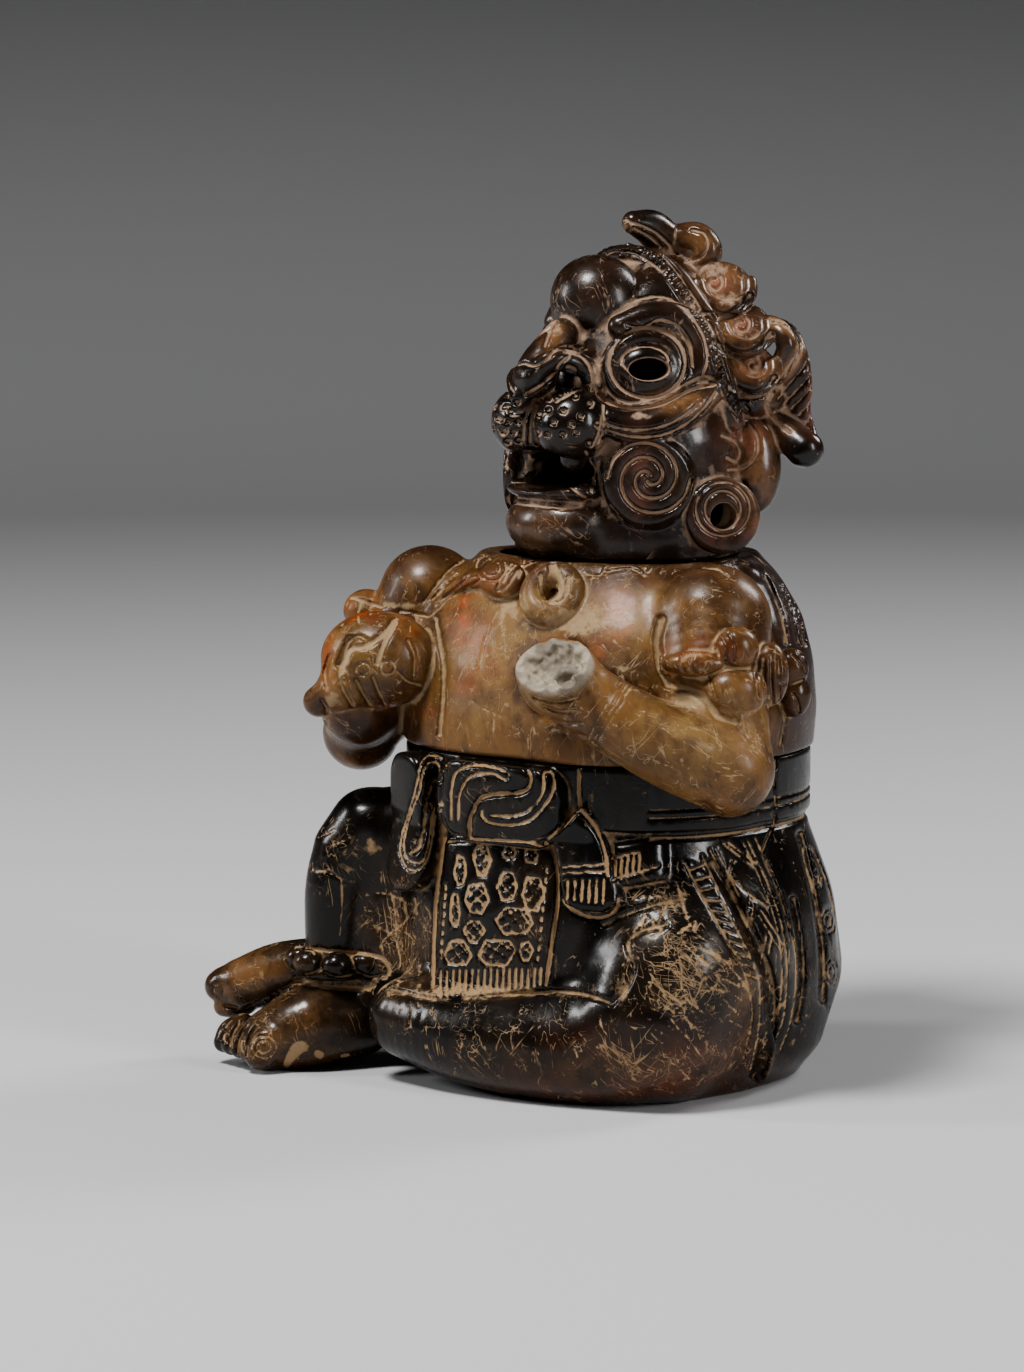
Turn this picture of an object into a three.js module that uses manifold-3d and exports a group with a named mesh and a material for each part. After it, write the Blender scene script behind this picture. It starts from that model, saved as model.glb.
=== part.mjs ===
// An effigy vessel: a seated, cross-legged figure whose face is a mask with a big cat's muzzle. It
// is three loose pieces of fired clay, hollow and open into one another: a lower vessel with the
// hips and legs, a torso with the arms, and a head. Millimetres, +Z up; the figure faces -Y, its
// left side is +X, and the origin is the middle of the flat underside.

import * as THREE from "three";
import { mergeVertices } from "three/addons/utils/BufferGeometryUtils.js";
import Module from "manifold-3d";

const wasm = await Module();
wasm.setup();

const RAD = Math.PI / 180;

// Driving dimensions of the whole figure
const SEAM_Z = 136; // top of the lower vessel
const NECK_Z = 213.5; // top of the torso
const REST_GAP = 0.3; // clear space between a piece and the one it rests on
const WALL = 8;
const FLOOR = 9;
const HIP_SQUARENESS = 2.6; // exponent of the body's cross-section, where 2 is an ellipse
const SKULL_SQUARENESS = 1.8;
const HEAD_PLACE = { x: 2, y: 12, turn: -7 }; // the head sits back and looks to its own right
const CROWN_Z = 322; // top of the hollow in the head
const PAST = 10; // how far a cut runs on past the edge that it opens
const PIERCE = 60; // length of the cutters for the holes in the mask
const GROUND_BLOCK = { width: 500, depth: 60 }; // what is under the part, cut off
const CLOTH_BLOCK = { back: -30, depth: 100 }; // y where cloth's outline starts, and its run to the front
const ROUND_END = 50 * RAD; // how far round a limb's end its one extra ring sits
const LEVEL_SPACING = 3; // the least height between two levels of a hollow

// Levels of the hollow bodies: half the width, and the reach to the front and the back
const HIPS = [
  { z: 0, side: 74, front: 60, back: 64 },
  { z: 8, side: 84, front: 69, back: 74 },
  { z: 42, side: 94, front: 75, back: 83 },
  { z: 76, side: 90, front: 74, back: 79 },
  { z: 108, side: 80, front: 68, back: 66 },
  { z: 110, side: 82, front: 70, back: 68 },
  { z: SEAM_Z, side: 82, front: 70, back: 68 },
];
const CHEST = [
  { z: SEAM_Z + REST_GAP, side: 83, front: 71, back: 69 },
  { z: 152, side: 84, front: 70, back: 70 },
  { z: 172, side: 82, front: 66, back: 70 },
  { z: 190, side: 76, front: 59, back: 68 },
  { z: 205, side: 64, front: 48, back: 65 },
  { z: NECK_Z, side: 53, front: 40, back: 60 },
];
const SKULL = [
  { z: NECK_Z + REST_GAP, side: 49, front: 49, back: 44 },
  { z: 222, side: 50, front: 51, back: 45 },
  { z: 262, side: 51, front: 45, back: 46 },
  { z: 298, side: 44, front: 38, back: 45 },
  { z: 314, side: 35.5, front: 30, back: 41 },
  { z: 327, side: 26, front: 17, back: 35 },
  { z: 335, side: 12, front: 1, back: 26 },
];

// Legs: stations of a limb are x, y, z and radius
const LEFT_THIGH = [
  [48, 14, 58, 24],
  [62, -14, 60, 34],
  [63, -38, 54, 34],
  [60, -50, 36, 31],
];
const LEFT_SHIN = [
  [60, -44, 27, 27],
  [44, -60, 23, 24],
  [14, -70, 22, 22],
  [-16, -74, 23, 20],
  [-44, -75, 26, 17],
];
const RIGHT_THIGH = [
  [-50, -8, 62, 36],
  [-68, -36, 84, 25],
  [-86, -60, 100, 17],
];
const RIGHT_SHIN = [
  [-88, -63, 99, 16.5],
  [-90, -66, 76, 14],
  [-91, -66, 44, 13],
];
// The clay between the right shin and the hips
const CALF_WEB = [
  [-72, -50, 100, 13],
  [-74, -53, 70, 14],
  [-72, -54, 30, 16],
];
const RIGHT_FOOT = [
  [-84, -62, 20, 17],
  [-94, -80, 17, 17],
  [-104, -93, 12, 13],
];
const RIGHT_FOOT_EDGE = [
  [-96, -66, 15, 13],
  [-112, -80, 11, 10],
  [-118, -88, 9, 8],
];
const LEFT_FOOT = [
  [-102, -62, 38, 13],
  [-118, -71, 35, 13],
  [-132, -79, 30, 11],
];
// Toes stand in a row from the big one to the last, and point the same way
const RIGHT_TOES = {
  tip: [-101, -103, 8.5],
  point: [-0.3, -0.95, -0.05],
  across: [-0.97, 0.2, 0.04],
  count: 5,
};
const LEFT_TOES = { tip: [-140, -84, 29], point: [-0.85, -0.5, -0.2], across: [0.2, 0, -1], count: 2 };
const TOE = { big: 6.8, small: 4.4, length: 9, spacing: 5.6, gap: 0.6, taper: 0.85 };
const ANKLET = { centre: [-90, -67, 44], radius: 15.5, beads: 4, bead: 6, from: 210, to: 360 };

// Dress on the hips, seen from the front: its middle and size, or its corners x and z, and how far
// it stands proud of the clay
const APRON = { x: 0, z: 72, width: 60, height: 62, corner: 5, proud: 3 };
const BOW = { x: 2, z: 119, width: 62, height: 34, corner: 13, proud: 9 };
const BOW_LOOP = { x: -47, z: 107, width: 26, height: 58, corner: 12, proud: 11 };
const TASSEL = {
  corners: [[40, 121], [48, 107], [55, 93], [58, 83], [52, 79], [44, 79], [36, 81], [31, 95], [27, 107]],
  proud: 6,
};
const SASH_END = { corners: [[50, 106], [67, 109], [70, 92], [54, 88]], proud: 3 };
const BOW_GROOVE = { radius: 2.6, places: [[17, 134], [19, 122], [4, 118], [-10, 112], [-8, 100]] };
const HEM = [
  [72, -41, 95, 4],
  [83, -30, 75, 4],
  [90, -19, 50, 4],
  [87, -9, 25, 4],
  [81, -4, 8, 4],
];

// Arms
const LEFT_ARM = [
  [67, -19, 191, 24],
  [76, -29, 169, 21],
  [90, -37, 138, 17],
];
const LEFT_FOREARM = [
  [90, -38, 134, 16],
  [76, -58, 146, 16],
  [58, -73, 159, 14.5],
  [46, -78, 167, 14],
];
const LEFT_HAND = { centre: [39, -82, 173], radii: [16, 16, 15], facing: [0.15, -0.75, 0.65] };
const BROKEN_RIM = { centre: [40, -86, 177], radii: [14.5, 14.5], length: 12, facing: [0.15, -0.75, 0.65] };
const SOCKET = { centre: [41, -90, 181], radii: [11.5, 11.5, 12], facing: [0.15, -0.75, 0.65] };
const RIGHT_ARM = [
  [-74, -26, 193, 21],
  [-84, -36, 166, 18],
  [-92, -49, 137, 16],
];
const RIGHT_FOREARM = { centre: [-82, -61, 152], radii: [17, 19, 17], facing: [0.5, -0.85, 0] };
const FIST = { centre: [-66, -68, 171], radii: [24, 20, 20], facing: [0.5, -0.85, 0] };
const THUMB = [
  [-72, -80, 163, 11],
  [-82, -85, 154, 7.5],
  [-89, -85, 150, 5.5],
];
// Bands tied round the upper arms, each place with its radii
const LEFT_KNOT = [
  { centre: [81, -49, 179], radii: [13, 5, 6], facing: [0.61, -0.79, 0] },
  { centre: [93, -37, 185], radii: [9, 9, 8], facing: [0.79, -0.61, 0] },
  { centre: [93, -38, 168], radii: [13, 10, 10], facing: [0.79, -0.61, 0] },
  { centre: [96, -19, 173], radii: [8, 13, 7], facing: [1, -0.2, 0] },
  { centre: [86, 9, 172], radii: [7, 8, 7], facing: [1, 0.1, 0] },
  { centre: [86, 11, 161], radii: [7, 9, 7], facing: [1, 0.1, 0] },
];
const RIGHT_KNOT = { centre: [-98, -39, 186], radii: [11, 9, 9], facing: [-1, -0.3, 0.2] };
// Cord round the neck, tied on the right of the chest, with a bead hung in front
const CORD_KNOT = { centre: [-16, -50, 206], radii: [13, 8, 6], facing: [-0.2, -0.8, 0.6] };
const CORD_END = [
  [-18, -48, 206, 5],
  [-36, -46, 203, 4.5],
  [-50, -42, 197, 3.5],
];
const PENDANT = { centre: [12.5, -53, 202], radius: 8.5, thickness: 5.5, facing: [0.2, -0.85, 0.5] };
const SHOULDER_KNOB = { centre: [55, 18, 206], radii: [8, 9, 6], facing: [0.3, 0, 1] };

// The head, in its own axes: x to its left, -y to its front, z as for the figure. What is named
// for one side is made on both.
const BROW_BOSS = { centre: [0, -20, 317], radii: [19.5, 19, 19], facing: [0, -1, 0] };
const NOSE = [
  [0, -40, 304, 7],
  [0, -50, 295, 8],
  [0, -55, 288, 9],
];
const NOSTRIL_WING = [
  [3, -60, 288, 4.5],
  [10, -55, 295, 4.5],
  [15, -42, 292, 4.5],
  [17, -39, 285, 4],
];
const NOSTRIL_DROP = 8; // the right nostril is set lower than the left one
const EYE_INSET = { x: 3, y: 2.5 }; // and the right eye and brow are set further in and back
const MUZZLE = { centre: [12.5, -46, 269], radii: [15.5, 15, 15.5], facing: [0.3, -1, 0] };
const MOUTH = { centre: [0, -56, 250], radii: [24, 8, 26], facing: [0, -1, 0] };
const LOWER_LIP = { centre: [0, -44, 242], radii: [24, 5.5, 14], facing: [0, -1, 0] };
const CHIN = { centre: [0, -40, 228], radii: [25, 15, 20], facing: [0, -1, 0] };
const BROW = [
  [21, -28, 308, 5],
  [28, -17, 312, 5.5],
  [36, -7, 310, 6],
  [42, -2, 302, 6],
  [45, -3, 291, 5],
];
const EYE = {
  centre: [30, -21.5, 291],
  facing: [0.8, -0.6, 0.05],
  radius: 13,
  stretch: 1.2,
  thickness: 3.2,
  ball: [13, 11, 8],
  hole: [8, 4.5],
};
const EYE_BAG = [
  [22, -42, 273, 5],
  [33, -31, 268, 7.5],
  [44, -15, 274, 6.5],
  [49, 1, 283, 4],
];
const CHEEK = {
  centre: [37.5, -28, 246],
  facing: [0.82, -0.57, 0],
  radii: [18.5, 18.5],
  length: 7,
  coil: { outer: 15.5, inner: 3, turns: 1.8, thickness: 3, start: 100 },
};
const EAR_FLARE = {
  centre: [52, -1, 232],
  facing: [0.85, -0.53, 0],
  radii: [15.5, 15.5],
  hole: [5.5, 5.5],
  length: 12,
};
const EAR = { centre: [48, 23, 250], radii: [11, 19, 7], facing: [0.85, -0.5, 0.1] };
const HAIRLINE = [
  [0, -3, 336, 4],
  [12, -1, 334, 4],
  [23, 2, 328, 4],
  [32, 4, 318, 4],
  [39, 5, 309, 4],
  [43.5, 5, 297, 4],
  [47, 6, 285, 4],
  [49.5, 9, 269, 4],
];
const HAIR_CURLS = [
  { centre: [30, 22, 321], radius: 12.5 },
  { centre: [41, 23, 305], radius: 12 },
  { centre: [46, 22, 289], radius: 11 },
];
const CURL_DEPTH = 9;
const HAIR_FACING = [0.75, -0.4, 0.4];
// The ribbon beside the hair is a bent sheet between its front and its back edge
const RIBBON = {
  thickness: 3.2,
  steps: 11,
  front: [
    [23, 26, 302],
    [38, 32, 306],
    [50, 33, 306],
    [56, 33, 299],
    [51, 34, 290],
    [43, 35, 281],
    [41, 35, 272],
    [50, 34, 265],
    [62, 34, 255],
  ],
  back: [
    [17, 32, 303],
    [32, 44, 307],
    [44, 47, 305],
    [51, 46, 298],
    [54, 46, 290],
    [55, 46, 281],
    [54, 46, 272],
    [56, 47, 264],
    [64, 43, 255],
  ],
};
const TOPKNOT = [
  [-1, 2, 348, 5],
  [-1, 13, 345, 7.5],
  [-1, 23, 337, 8],
  [-1, 31, 330, 8],
];
const TOPKNOT_COIL = [
  [4, 23, 342, 5],
  [13, 25, 342, 6],
  [18, 26, 337, 6],
  [15, 26, 330, 6],
  [8, 25, 327, 5.5],
];

// Turns a closed geometry into a solid that can be joined and cut.
function solid(geometry) {
  const bare = geometry.clone();
  bare.deleteAttribute("normal");
  bare.deleteAttribute("uv");
  const merged = mergeVertices(bare, 1e-4);
  return new wasm.Manifold(
    new wasm.Mesh({
      numProp: 3,
      vertProperties: merged.attributes.position.array,
      triVerts: new Uint32Array(merged.index.array),
    }),
  );
}

function join(solids) {
  return solids.reduce((whole, next) => whole.add(next));
}

function cutAway(whole, tools) {
  return tools.reduce((left, tool) => left.subtract(tool), whole);
}

// Makes something for the figure's left side and again, mirrored, for its right.
function both(make) {
  return [make(1), make(-1)];
}

function mirror([x, ...rest], side) {
  return [x * side, ...rest];
}

// Skins a stack of rings of points and closes both ends with a pole.
function skin(rings, bottomPole, topPole) {
  const positions = [...rings.flat(), bottomPole, topPole].flat();
  const sides = rings[0].length;
  const low = rings.length * sides;
  const high = low + 1;
  const last = (rings.length - 1) * sides;
  const faces = [];
  for (let k = 0; k < sides; k++) {
    const next = (k + 1) % sides;
    faces.push(low, next, k, high, last + k, last + next);
    for (let row = 0; row < last; row += sides) {
      const [a, b] = [row + k, row + next];
      faces.push(a, b, b + sides, a, b + sides, a + sides);
    }
  }
  return new THREE.BufferGeometry()
    .setAttribute("position", new THREE.Float32BufferAttribute(positions, 3))
    .setIndex(faces);
}

// The outline of a hollow body at one level, a rounded rectangle.
function outline({ z, side, front, back }, { sides, grow, squareness }) {
  const rounded = (value) => Math.sign(value) * Math.abs(value) ** (2 / squareness);
  return Array.from({ length: sides }, (_, k) => {
    const turn = (2 * Math.PI * (k + 0.5)) / sides;
    const [across, along] = [rounded(Math.cos(turn)), rounded(Math.sin(turn))];
    return [(side + grow) * across, ((along < 0 ? front : back) + grow) * along, z];
  });
}

function vessel(levels, { sides = 20, grow = 0, squareness = HIP_SQUARENESS } = {}) {
  const rings = levels.map((level) => outline(level, { sides, grow, squareness }));
  const middle = ({ z, front, back }) => [0, (back - front) / 2, z];
  return solid(skin(rings, middle(levels[0]), middle(levels.at(-1))));
}

// The level of a body at any height, between its listed ones or beyond them.
function levelAt(levels, z) {
  const above = levels.findIndex((level) => level.z >= z);
  const upper = above < 0 ? levels.length - 1 : Math.max(1, above);
  const [a, b] = [levels[upper - 1], levels[upper]];
  const share = Math.min(Math.max((z - a.z) / (b.z - a.z), 0), 1);
  const between = (key) => a[key] + (b[key] - a[key]) * share;
  return { z, side: between("side"), front: between("front"), back: between("back") };
}

// The hollow inside a body's wall, from one height to another.
function hollow(levels, from, to, options) {
  const inside = levels.filter(({ z }) => z > from + LEVEL_SPACING && z < to - LEVEL_SPACING);
  const all = [levelAt(levels, from), ...inside, levelAt(levels, to)];
  return vessel(all, { sides: 14, grow: -WALL, ...options });
}

// Moves a geometry made round the origin to its place, its own +Z turned to the facing.
function placed(geometry, centre, facing) {
  const along = new THREE.Vector3(...facing).normalize();
  const across = new THREE.Vector3(-along.y, along.x, 0).normalize();
  const up = new THREE.Vector3().crossVectors(along, across);
  const basis = new THREE.Matrix4().makeBasis(across, up, along);
  return solid(geometry.applyMatrix4(basis).translate(...centre));
}

// An egg-shaped lump; its radii run across, up and along its facing.
function lump({ centre, radii, facing = [0, -1, 0] }, { around = 10, rows = 6, side = 1 } = {}) {
  const geometry = new THREE.SphereGeometry(1, around, rows).scale(...radii);
  return placed(geometry, mirror(centre, side), mirror(facing, side));
}

// A ring of clay rolled to a bead, its hole along its facing.
function ring({ centre, radius, thickness, facing, stretch = 1 }, { around, sides, side = 1 }) {
  const geometry = new THREE.TorusGeometry(radius, thickness, sides, around).scale(stretch, 1, 1);
  return placed(geometry, mirror(centre, side), mirror(facing, side));
}

// A straight round or oval peg through its centre, along its facing.
function peg({ centre, radii, length, facing }, { sides = 10, side = 1 } = {}) {
  const geometry = new THREE.CylinderGeometry(1, 1, length, sides).rotateX(90 * RAD);
  geometry.scale(...radii, 1);
  return placed(geometry, mirror(centre, side), mirror(facing, side));
}

// A round-ended limb or roll of clay through its stations. Its section is squeezed by flat along
// the facing.
function limb(stations, { sides = 8, steps = 5, facing = [0, 0, 1], flat = 1, side = 1 } = {}) {
  const line = new THREE.CatmullRomCurve3(
    stations.map(([x, y, z]) => new THREE.Vector3(x * side, y, z)),
    false,
    "centripetal",
  );
  const towards = new THREE.Vector3(...mirror(facing, side)).normalize();
  const radiusAt = (share) => {
    const place = share * (stations.length - 1);
    const k = Math.min(Math.floor(place), stations.length - 2);
    return THREE.MathUtils.lerp(stations[k][3], stations[k + 1][3], place - k);
  };
  const ringAt = (share, radius, push) => {
    const along = line.getTangent(share);
    const across = new THREE.Vector3().crossVectors(along, towards).normalize();
    const up = new THREE.Vector3().crossVectors(along, across);
    const centre = line.getPoint(share).addScaledVector(along, push);
    return Array.from({ length: sides }, (_, k) => {
      const turn = (2 * Math.PI * (k + 0.5)) / sides;
      const point = centre.clone().addScaledVector(across, Math.cos(turn) * radius);
      return point.addScaledVector(up, Math.sin(turn) * radius * flat).toArray();
    });
  };
  const [first, last] = [radiusAt(0), radiusAt(1)];
  const [inward, outward] = [Math.cos(ROUND_END), Math.sin(ROUND_END)];
  const rings = [ringAt(0, first * inward, -first * outward)];
  for (let k = 0; k <= steps; k++) rings.push(ringAt(k / steps, radiusAt(k / steps), 0));
  rings.push(ringAt(1, last * inward, last * outward));
  const start = line.getPoint(0).addScaledVector(line.getTangent(0), -first);
  const end = line.getPoint(1).addScaledVector(line.getTangent(1), last);
  return solid(skin(rings, start.toArray(), end.toArray()));
}

// Stations of a coil that lies on a disc and winds in towards its centre.
function coil({ centre, facing, length, coil: { outer, inner, turns, thickness, start } }, points) {
  const along = new THREE.Vector3(...facing).normalize();
  const across = new THREE.Vector3(-along.y, along.x, 0).normalize();
  const up = new THREE.Vector3().crossVectors(along, across);
  return Array.from({ length: points }, (_, k) => {
    const share = k / (points - 1);
    const radius = THREE.MathUtils.lerp(outer, inner, share);
    const turn = start * RAD - share * turns * 2 * Math.PI;
    const point = new THREE.Vector3(...centre).addScaledVector(across, radius * Math.cos(turn));
    point.addScaledVector(up, radius * Math.sin(turn)).addScaledVector(along, length / 2);
    return [...point.toArray(), thickness];
  });
}

// The outline of a rounded rectangle seen from the front.
function roundedCorners({ x, z, width, height, corner }) {
  const steps = 3;
  const points = [];
  for (const [cx, cz, start] of [[1, 1, 0], [-1, 1, 90], [-1, -1, 180], [1, -1, 270]])
    for (let k = 0; k <= steps; k++) {
      const turn = (start + (90 * k) / steps) * RAD;
      const px = x + cx * (width / 2 - corner) + corner * Math.cos(turn);
      points.push([px, z + cz * (height / 2 - corner) + corner * Math.sin(turn)]);
    }
  return points;
}

// An outline seen from the front, run through the front of the body.
function frontBlock(block) {
  const points = block.corners ?? roundedCorners(block);
  const { back, depth } = CLOTH_BLOCK;
  const shape = new THREE.Shape(points.map(([px, pz]) => new THREE.Vector2(px, pz)));
  const geometry = new THREE.ExtrudeGeometry(shape, { depth, bevelEnabled: false });
  return solid(geometry.rotateX(90 * RAD).translate(0, back, 0));
}

// Cloth laid on the hips, as thick as it stands proud of them.
function onHips(block) {
  return frontBlock(block).intersect(vessel(HIPS, { grow: block.proud }));
}

// A row of toes, the big one first.
function toes({ tip, point, across, count }) {
  const way = new THREE.Vector3(...point).setLength(TOE.length);
  const sideways = new THREE.Vector3(...across).normalize();
  return Array.from({ length: count }, (_, k) => {
    const radius = k === 0 ? TOE.big : TOE.small;
    const offset = k === 0 ? 0 : TOE.big - TOE.small + TOE.spacing * k + TOE.gap;
    const end = new THREE.Vector3(...tip).addScaledVector(sideways, offset);
    const root = end.clone().sub(way).toArray();
    return limb([[...root, radius], [...end.toArray(), radius * TOE.taper]], { sides: 5, steps: 1 });
  });
}

function anklet() {
  const { centre, radius, beads, bead, from, to } = ANKLET;
  return Array.from({ length: beads }, (_, k) => {
    const turn = (from + ((to - from) * k) / (beads - 1)) * RAD;
    const place = [centre[0] + radius * Math.cos(turn), centre[1] + radius * Math.sin(turn), centre[2]];
    return lump({ centre: place, radii: [bead, bead, bead] }, { around: 6, rows: 3 });
  });
}

function bowGroove() {
  const y = -(levelAt(HIPS, BOW.z).front + BOW.proud);
  const stations = BOW_GROOVE.places.map(([x, z]) => [x, y, z, BOW_GROOVE.radius]);
  return limb(stations, { sides: 5, steps: 8, facing: [0, 1, 0], flat: 1.3 });
}

// Everything below a height, as a block that cuts a flat underside.
function below(z) {
  const { width, depth } = GROUND_BLOCK;
  return solid(new THREE.BoxGeometry(width, width, depth).translate(0, 0, z - depth / 2));
}

function lowerVessel() {
  const legs = [
    limb(LEFT_THIGH, { sides: 10, steps: 4, facing: [1, 0, 0] }),
    limb(LEFT_SHIN, { sides: 10, steps: 5 }),
    limb(RIGHT_THIGH, { sides: 9, steps: 3, facing: [1, 0, 0] }),
    limb(RIGHT_SHIN, { sides: 7, steps: 2, facing: [0, 1, 0] }),
    limb(CALF_WEB, { sides: 5, steps: 2, facing: [0, 1, 0] }),
    limb(RIGHT_FOOT, { sides: 7, steps: 2 }),
    limb(RIGHT_FOOT_EDGE, { sides: 6, steps: 2 }),
    limb(LEFT_FOOT, { sides: 7, steps: 1 }),
    ...toes(RIGHT_TOES),
    ...toes(LEFT_TOES),
    ...anklet(),
  ];
  const hem = limb(HEM, { sides: 4, steps: 4, facing: [1, -0.6, 0], flat: 0.8 });
  const dress = [APRON, BOW, BOW_LOOP, TASSEL, SASH_END].map(onHips);
  return cutAway(join([vessel(HIPS), ...legs, ...dress, hem]), [
    hollow(HIPS, FLOOR, SEAM_Z + PAST),
    below(0),
    bowGroove(),
  ]);
}

function torso() {
  const arms = [
    limb(LEFT_ARM, { sides: 7, steps: 3, facing: [0, 1, 0] }),
    limb(LEFT_FOREARM, { sides: 8, steps: 3 }),
    limb(RIGHT_ARM, { sides: 7, steps: 3, facing: [0, 1, 0] }),
    lump(RIGHT_FOREARM, { around: 8, rows: 5 }),
    lump(FIST, { around: 9, rows: 6 }),
    limb(THUMB, { sides: 5, steps: 2 }),
    lump(LEFT_HAND, { around: 8, rows: 6 }),
    peg(BROKEN_RIM, { sides: 10 }),
  ];
  const ties = [
    ...LEFT_KNOT.map((place) => lump(place, { around: 6, rows: 4 })),
    lump(RIGHT_KNOT, { around: 6, rows: 4 }),
    lump(CORD_KNOT, { around: 8, rows: 4 }),
    limb(CORD_END, { sides: 5, steps: 3, flat: 0.7 }),
    ring(PENDANT, { around: 9, sides: 4 }),
    lump(SHOULDER_KNOB, { around: 6, rows: 4 }),
  ];
  const top = { ...levelAt(HIPS, SEAM_Z), z: SEAM_Z + REST_GAP };
  const roomForRim = vessel([levelAt(HIPS, HIPS.at(-2).z), top], { grow: REST_GAP });
  return cutAway(join([vessel(CHEST), ...arms, ...ties]), [
    hollow(CHEST, SEAM_Z - PAST, NECK_Z + PAST),
    roomForRim,
    lump(SOCKET, { around: 9, rows: 6 }),
  ]);
}

function ribbon(side) {
  const { steps, thickness } = RIBBON;
  const [front, back] = [RIBBON.front, RIBBON.back].map(
    (edge) => new THREE.CatmullRomCurve3(edge.map((row) => new THREE.Vector3(...mirror(row, side)))),
  );
  const rings = Array.from({ length: steps + 1 }, (_, k) => {
    const [from, to] = [front, back].map((edge) => edge.getPoint(k / steps));
    const wide = to.clone().sub(from).setLength(thickness);
    const thick = front.getTangent(k / steps).cross(wide).setLength(thickness);
    return [
      to.clone().sub(thick),
      to.clone().add(wide),
      to.clone().add(thick),
      from.clone().add(thick),
      from.clone().sub(wide),
      from.clone().sub(thick),
    ].map((point) => point.toArray());
  });
  const pole = (k) => front.getPoint(k).lerp(back.getPoint(k), 0.5).toArray();
  return solid(skin(rings, pole(0), pole(1)));
}

// The eye, its bag and its brow: the right ones are set in.
function setIn([x, y, ...rest], side) {
  return side < 0 ? [x - EYE_INSET.x, y + EYE_INSET.y, ...rest] : [x, y, ...rest];
}

function nostril(side) {
  const drop = side < 0 ? NOSTRIL_DROP : 0;
  return NOSTRIL_WING.map(([x, y, z, radius]) => [x, y, z - drop, radius]);
}

function head() {
  const face = [
    lump(BROW_BOSS, { around: 9, rows: 6 }),
    limb(NOSE, { sides: 6, steps: 2 }),
    lump(CHIN, { around: 8, rows: 5 }),
    lump(LOWER_LIP, { around: 10, rows: 4 }),
    ...both((side) => limb(nostril(side), { sides: 4, steps: 3, side })),
    ...both((side) => lump(MUZZLE, { around: 8, rows: 6, side })),
    ...both((side) => limb(BROW.map((row) => setIn(row, side)), { sides: 5, steps: 3, side })),
    ...both((side) => limb(EYE_BAG.map((row) => setIn(row, side)), { sides: 6, steps: 3, side })),
  ];
  const eyes = both((side) => [
    lump({ ...EYE, centre: setIn(EYE.centre, side), radii: EYE.ball }, { around: 8, rows: 4, side }),
    ring({ ...EYE, centre: setIn(EYE.centre, side) }, { around: 10, sides: 4, side }),
  ]).flat();
  const cheeks = both((side) => [
    peg(CHEEK, { sides: 10, side }),
    limb(coil(CHEEK, 12), { sides: 4, steps: 10, facing: CHEEK.facing, side }),
  ]).flat();
  const ears = both((side) => [
    lump(EAR, { around: 8, rows: 5, side }),
    peg(EAR_FLARE, { sides: 10, side }),
  ]).flat();
  const hair = [
    ...both((side) => limb(HAIRLINE, { sides: 4, steps: 5, side })),
    ...HAIR_CURLS.flatMap(({ centre, radius }) =>
      both((side) =>
        lump(
          { centre, radii: [radius, radius, CURL_DEPTH], facing: HAIR_FACING },
          { around: 8, rows: 3, side },
        ),
      ),
    ),
    ...both(ribbon),
    limb(TOPKNOT, { sides: 6, steps: 3 }),
    limb(TOPKNOT_COIL, { sides: 4, steps: 5, facing: [1, 0, 0] }),
  ];
  const body = vessel(SKULL, { sides: 16, squareness: SKULL_SQUARENESS });
  const inside = hollow(SKULL, NECK_Z - PAST, CROWN_Z, { sides: 10, squareness: SKULL_SQUARENESS });
  const holes = both((side) => [
    peg({ ...EYE, centre: setIn(EYE.centre, side), radii: EYE.hole, length: PIERCE }, { sides: 8, side }),
    peg({ ...EAR_FLARE, radii: EAR_FLARE.hole, length: PIERCE }, { sides: 6, side }),
  ]).flat();
  return cutAway(join([body, ...face, ...eyes, ...cheeks, ...ears, ...hair]), [
    inside,
    ...holes,
    below(NECK_Z + REST_GAP),
    lump(MOUTH, { around: 8, rows: 4 }),
  ]);
}

const MATERIALS = {
  black: { color: "#17110e", roughness: 0.32, metalness: 0 },
  brown: { color: "#5b3a20", roughness: 0.34, metalness: 0 },
  umber: { color: "#241812", roughness: 0.3, metalness: 0 },
};

function piece(name, made, look) {
  const mesh = made.getMesh();
  const geometry = new THREE.BufferGeometry()
    .setAttribute("position", new THREE.BufferAttribute(mesh.vertProperties, 3))
    .setIndex(new THREE.BufferAttribute(mesh.triVerts, 1));
  geometry.computeVertexNormals();
  const part = new THREE.Mesh(geometry, new THREE.MeshStandardMaterial(look));
  part.name = name;
  return part;
}

const figure = new THREE.Group();
figure.add(piece("lower_vessel", lowerVessel(), MATERIALS.black));
figure.add(piece("torso", torso(), MATERIALS.brown));

const headPiece = piece("head", head(), MATERIALS.umber);
headPiece.position.set(HEAD_PLACE.x, HEAD_PLACE.y, 0);
headPiece.rotation.z = HEAD_PLACE.turn * RAD;
figure.add(headPiece);

export default figure;
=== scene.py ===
# Effigy vessel, the looks. Each of the three loose pieces of clay is built as a block of voxels
# that hold the distance to its surface, on nearly the same named sizes as the solids, then carved
# with the lines that the photograph shows, and turned into one mesh. Sizes are in millimetres, +Z up,
# the figure faces -Y and its left side is +X; the head's are in the head's own axes. Carved lines and
# spots of colour are placed in pixels of the photograph, 1024 by 1372, through its camera.

import math

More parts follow.
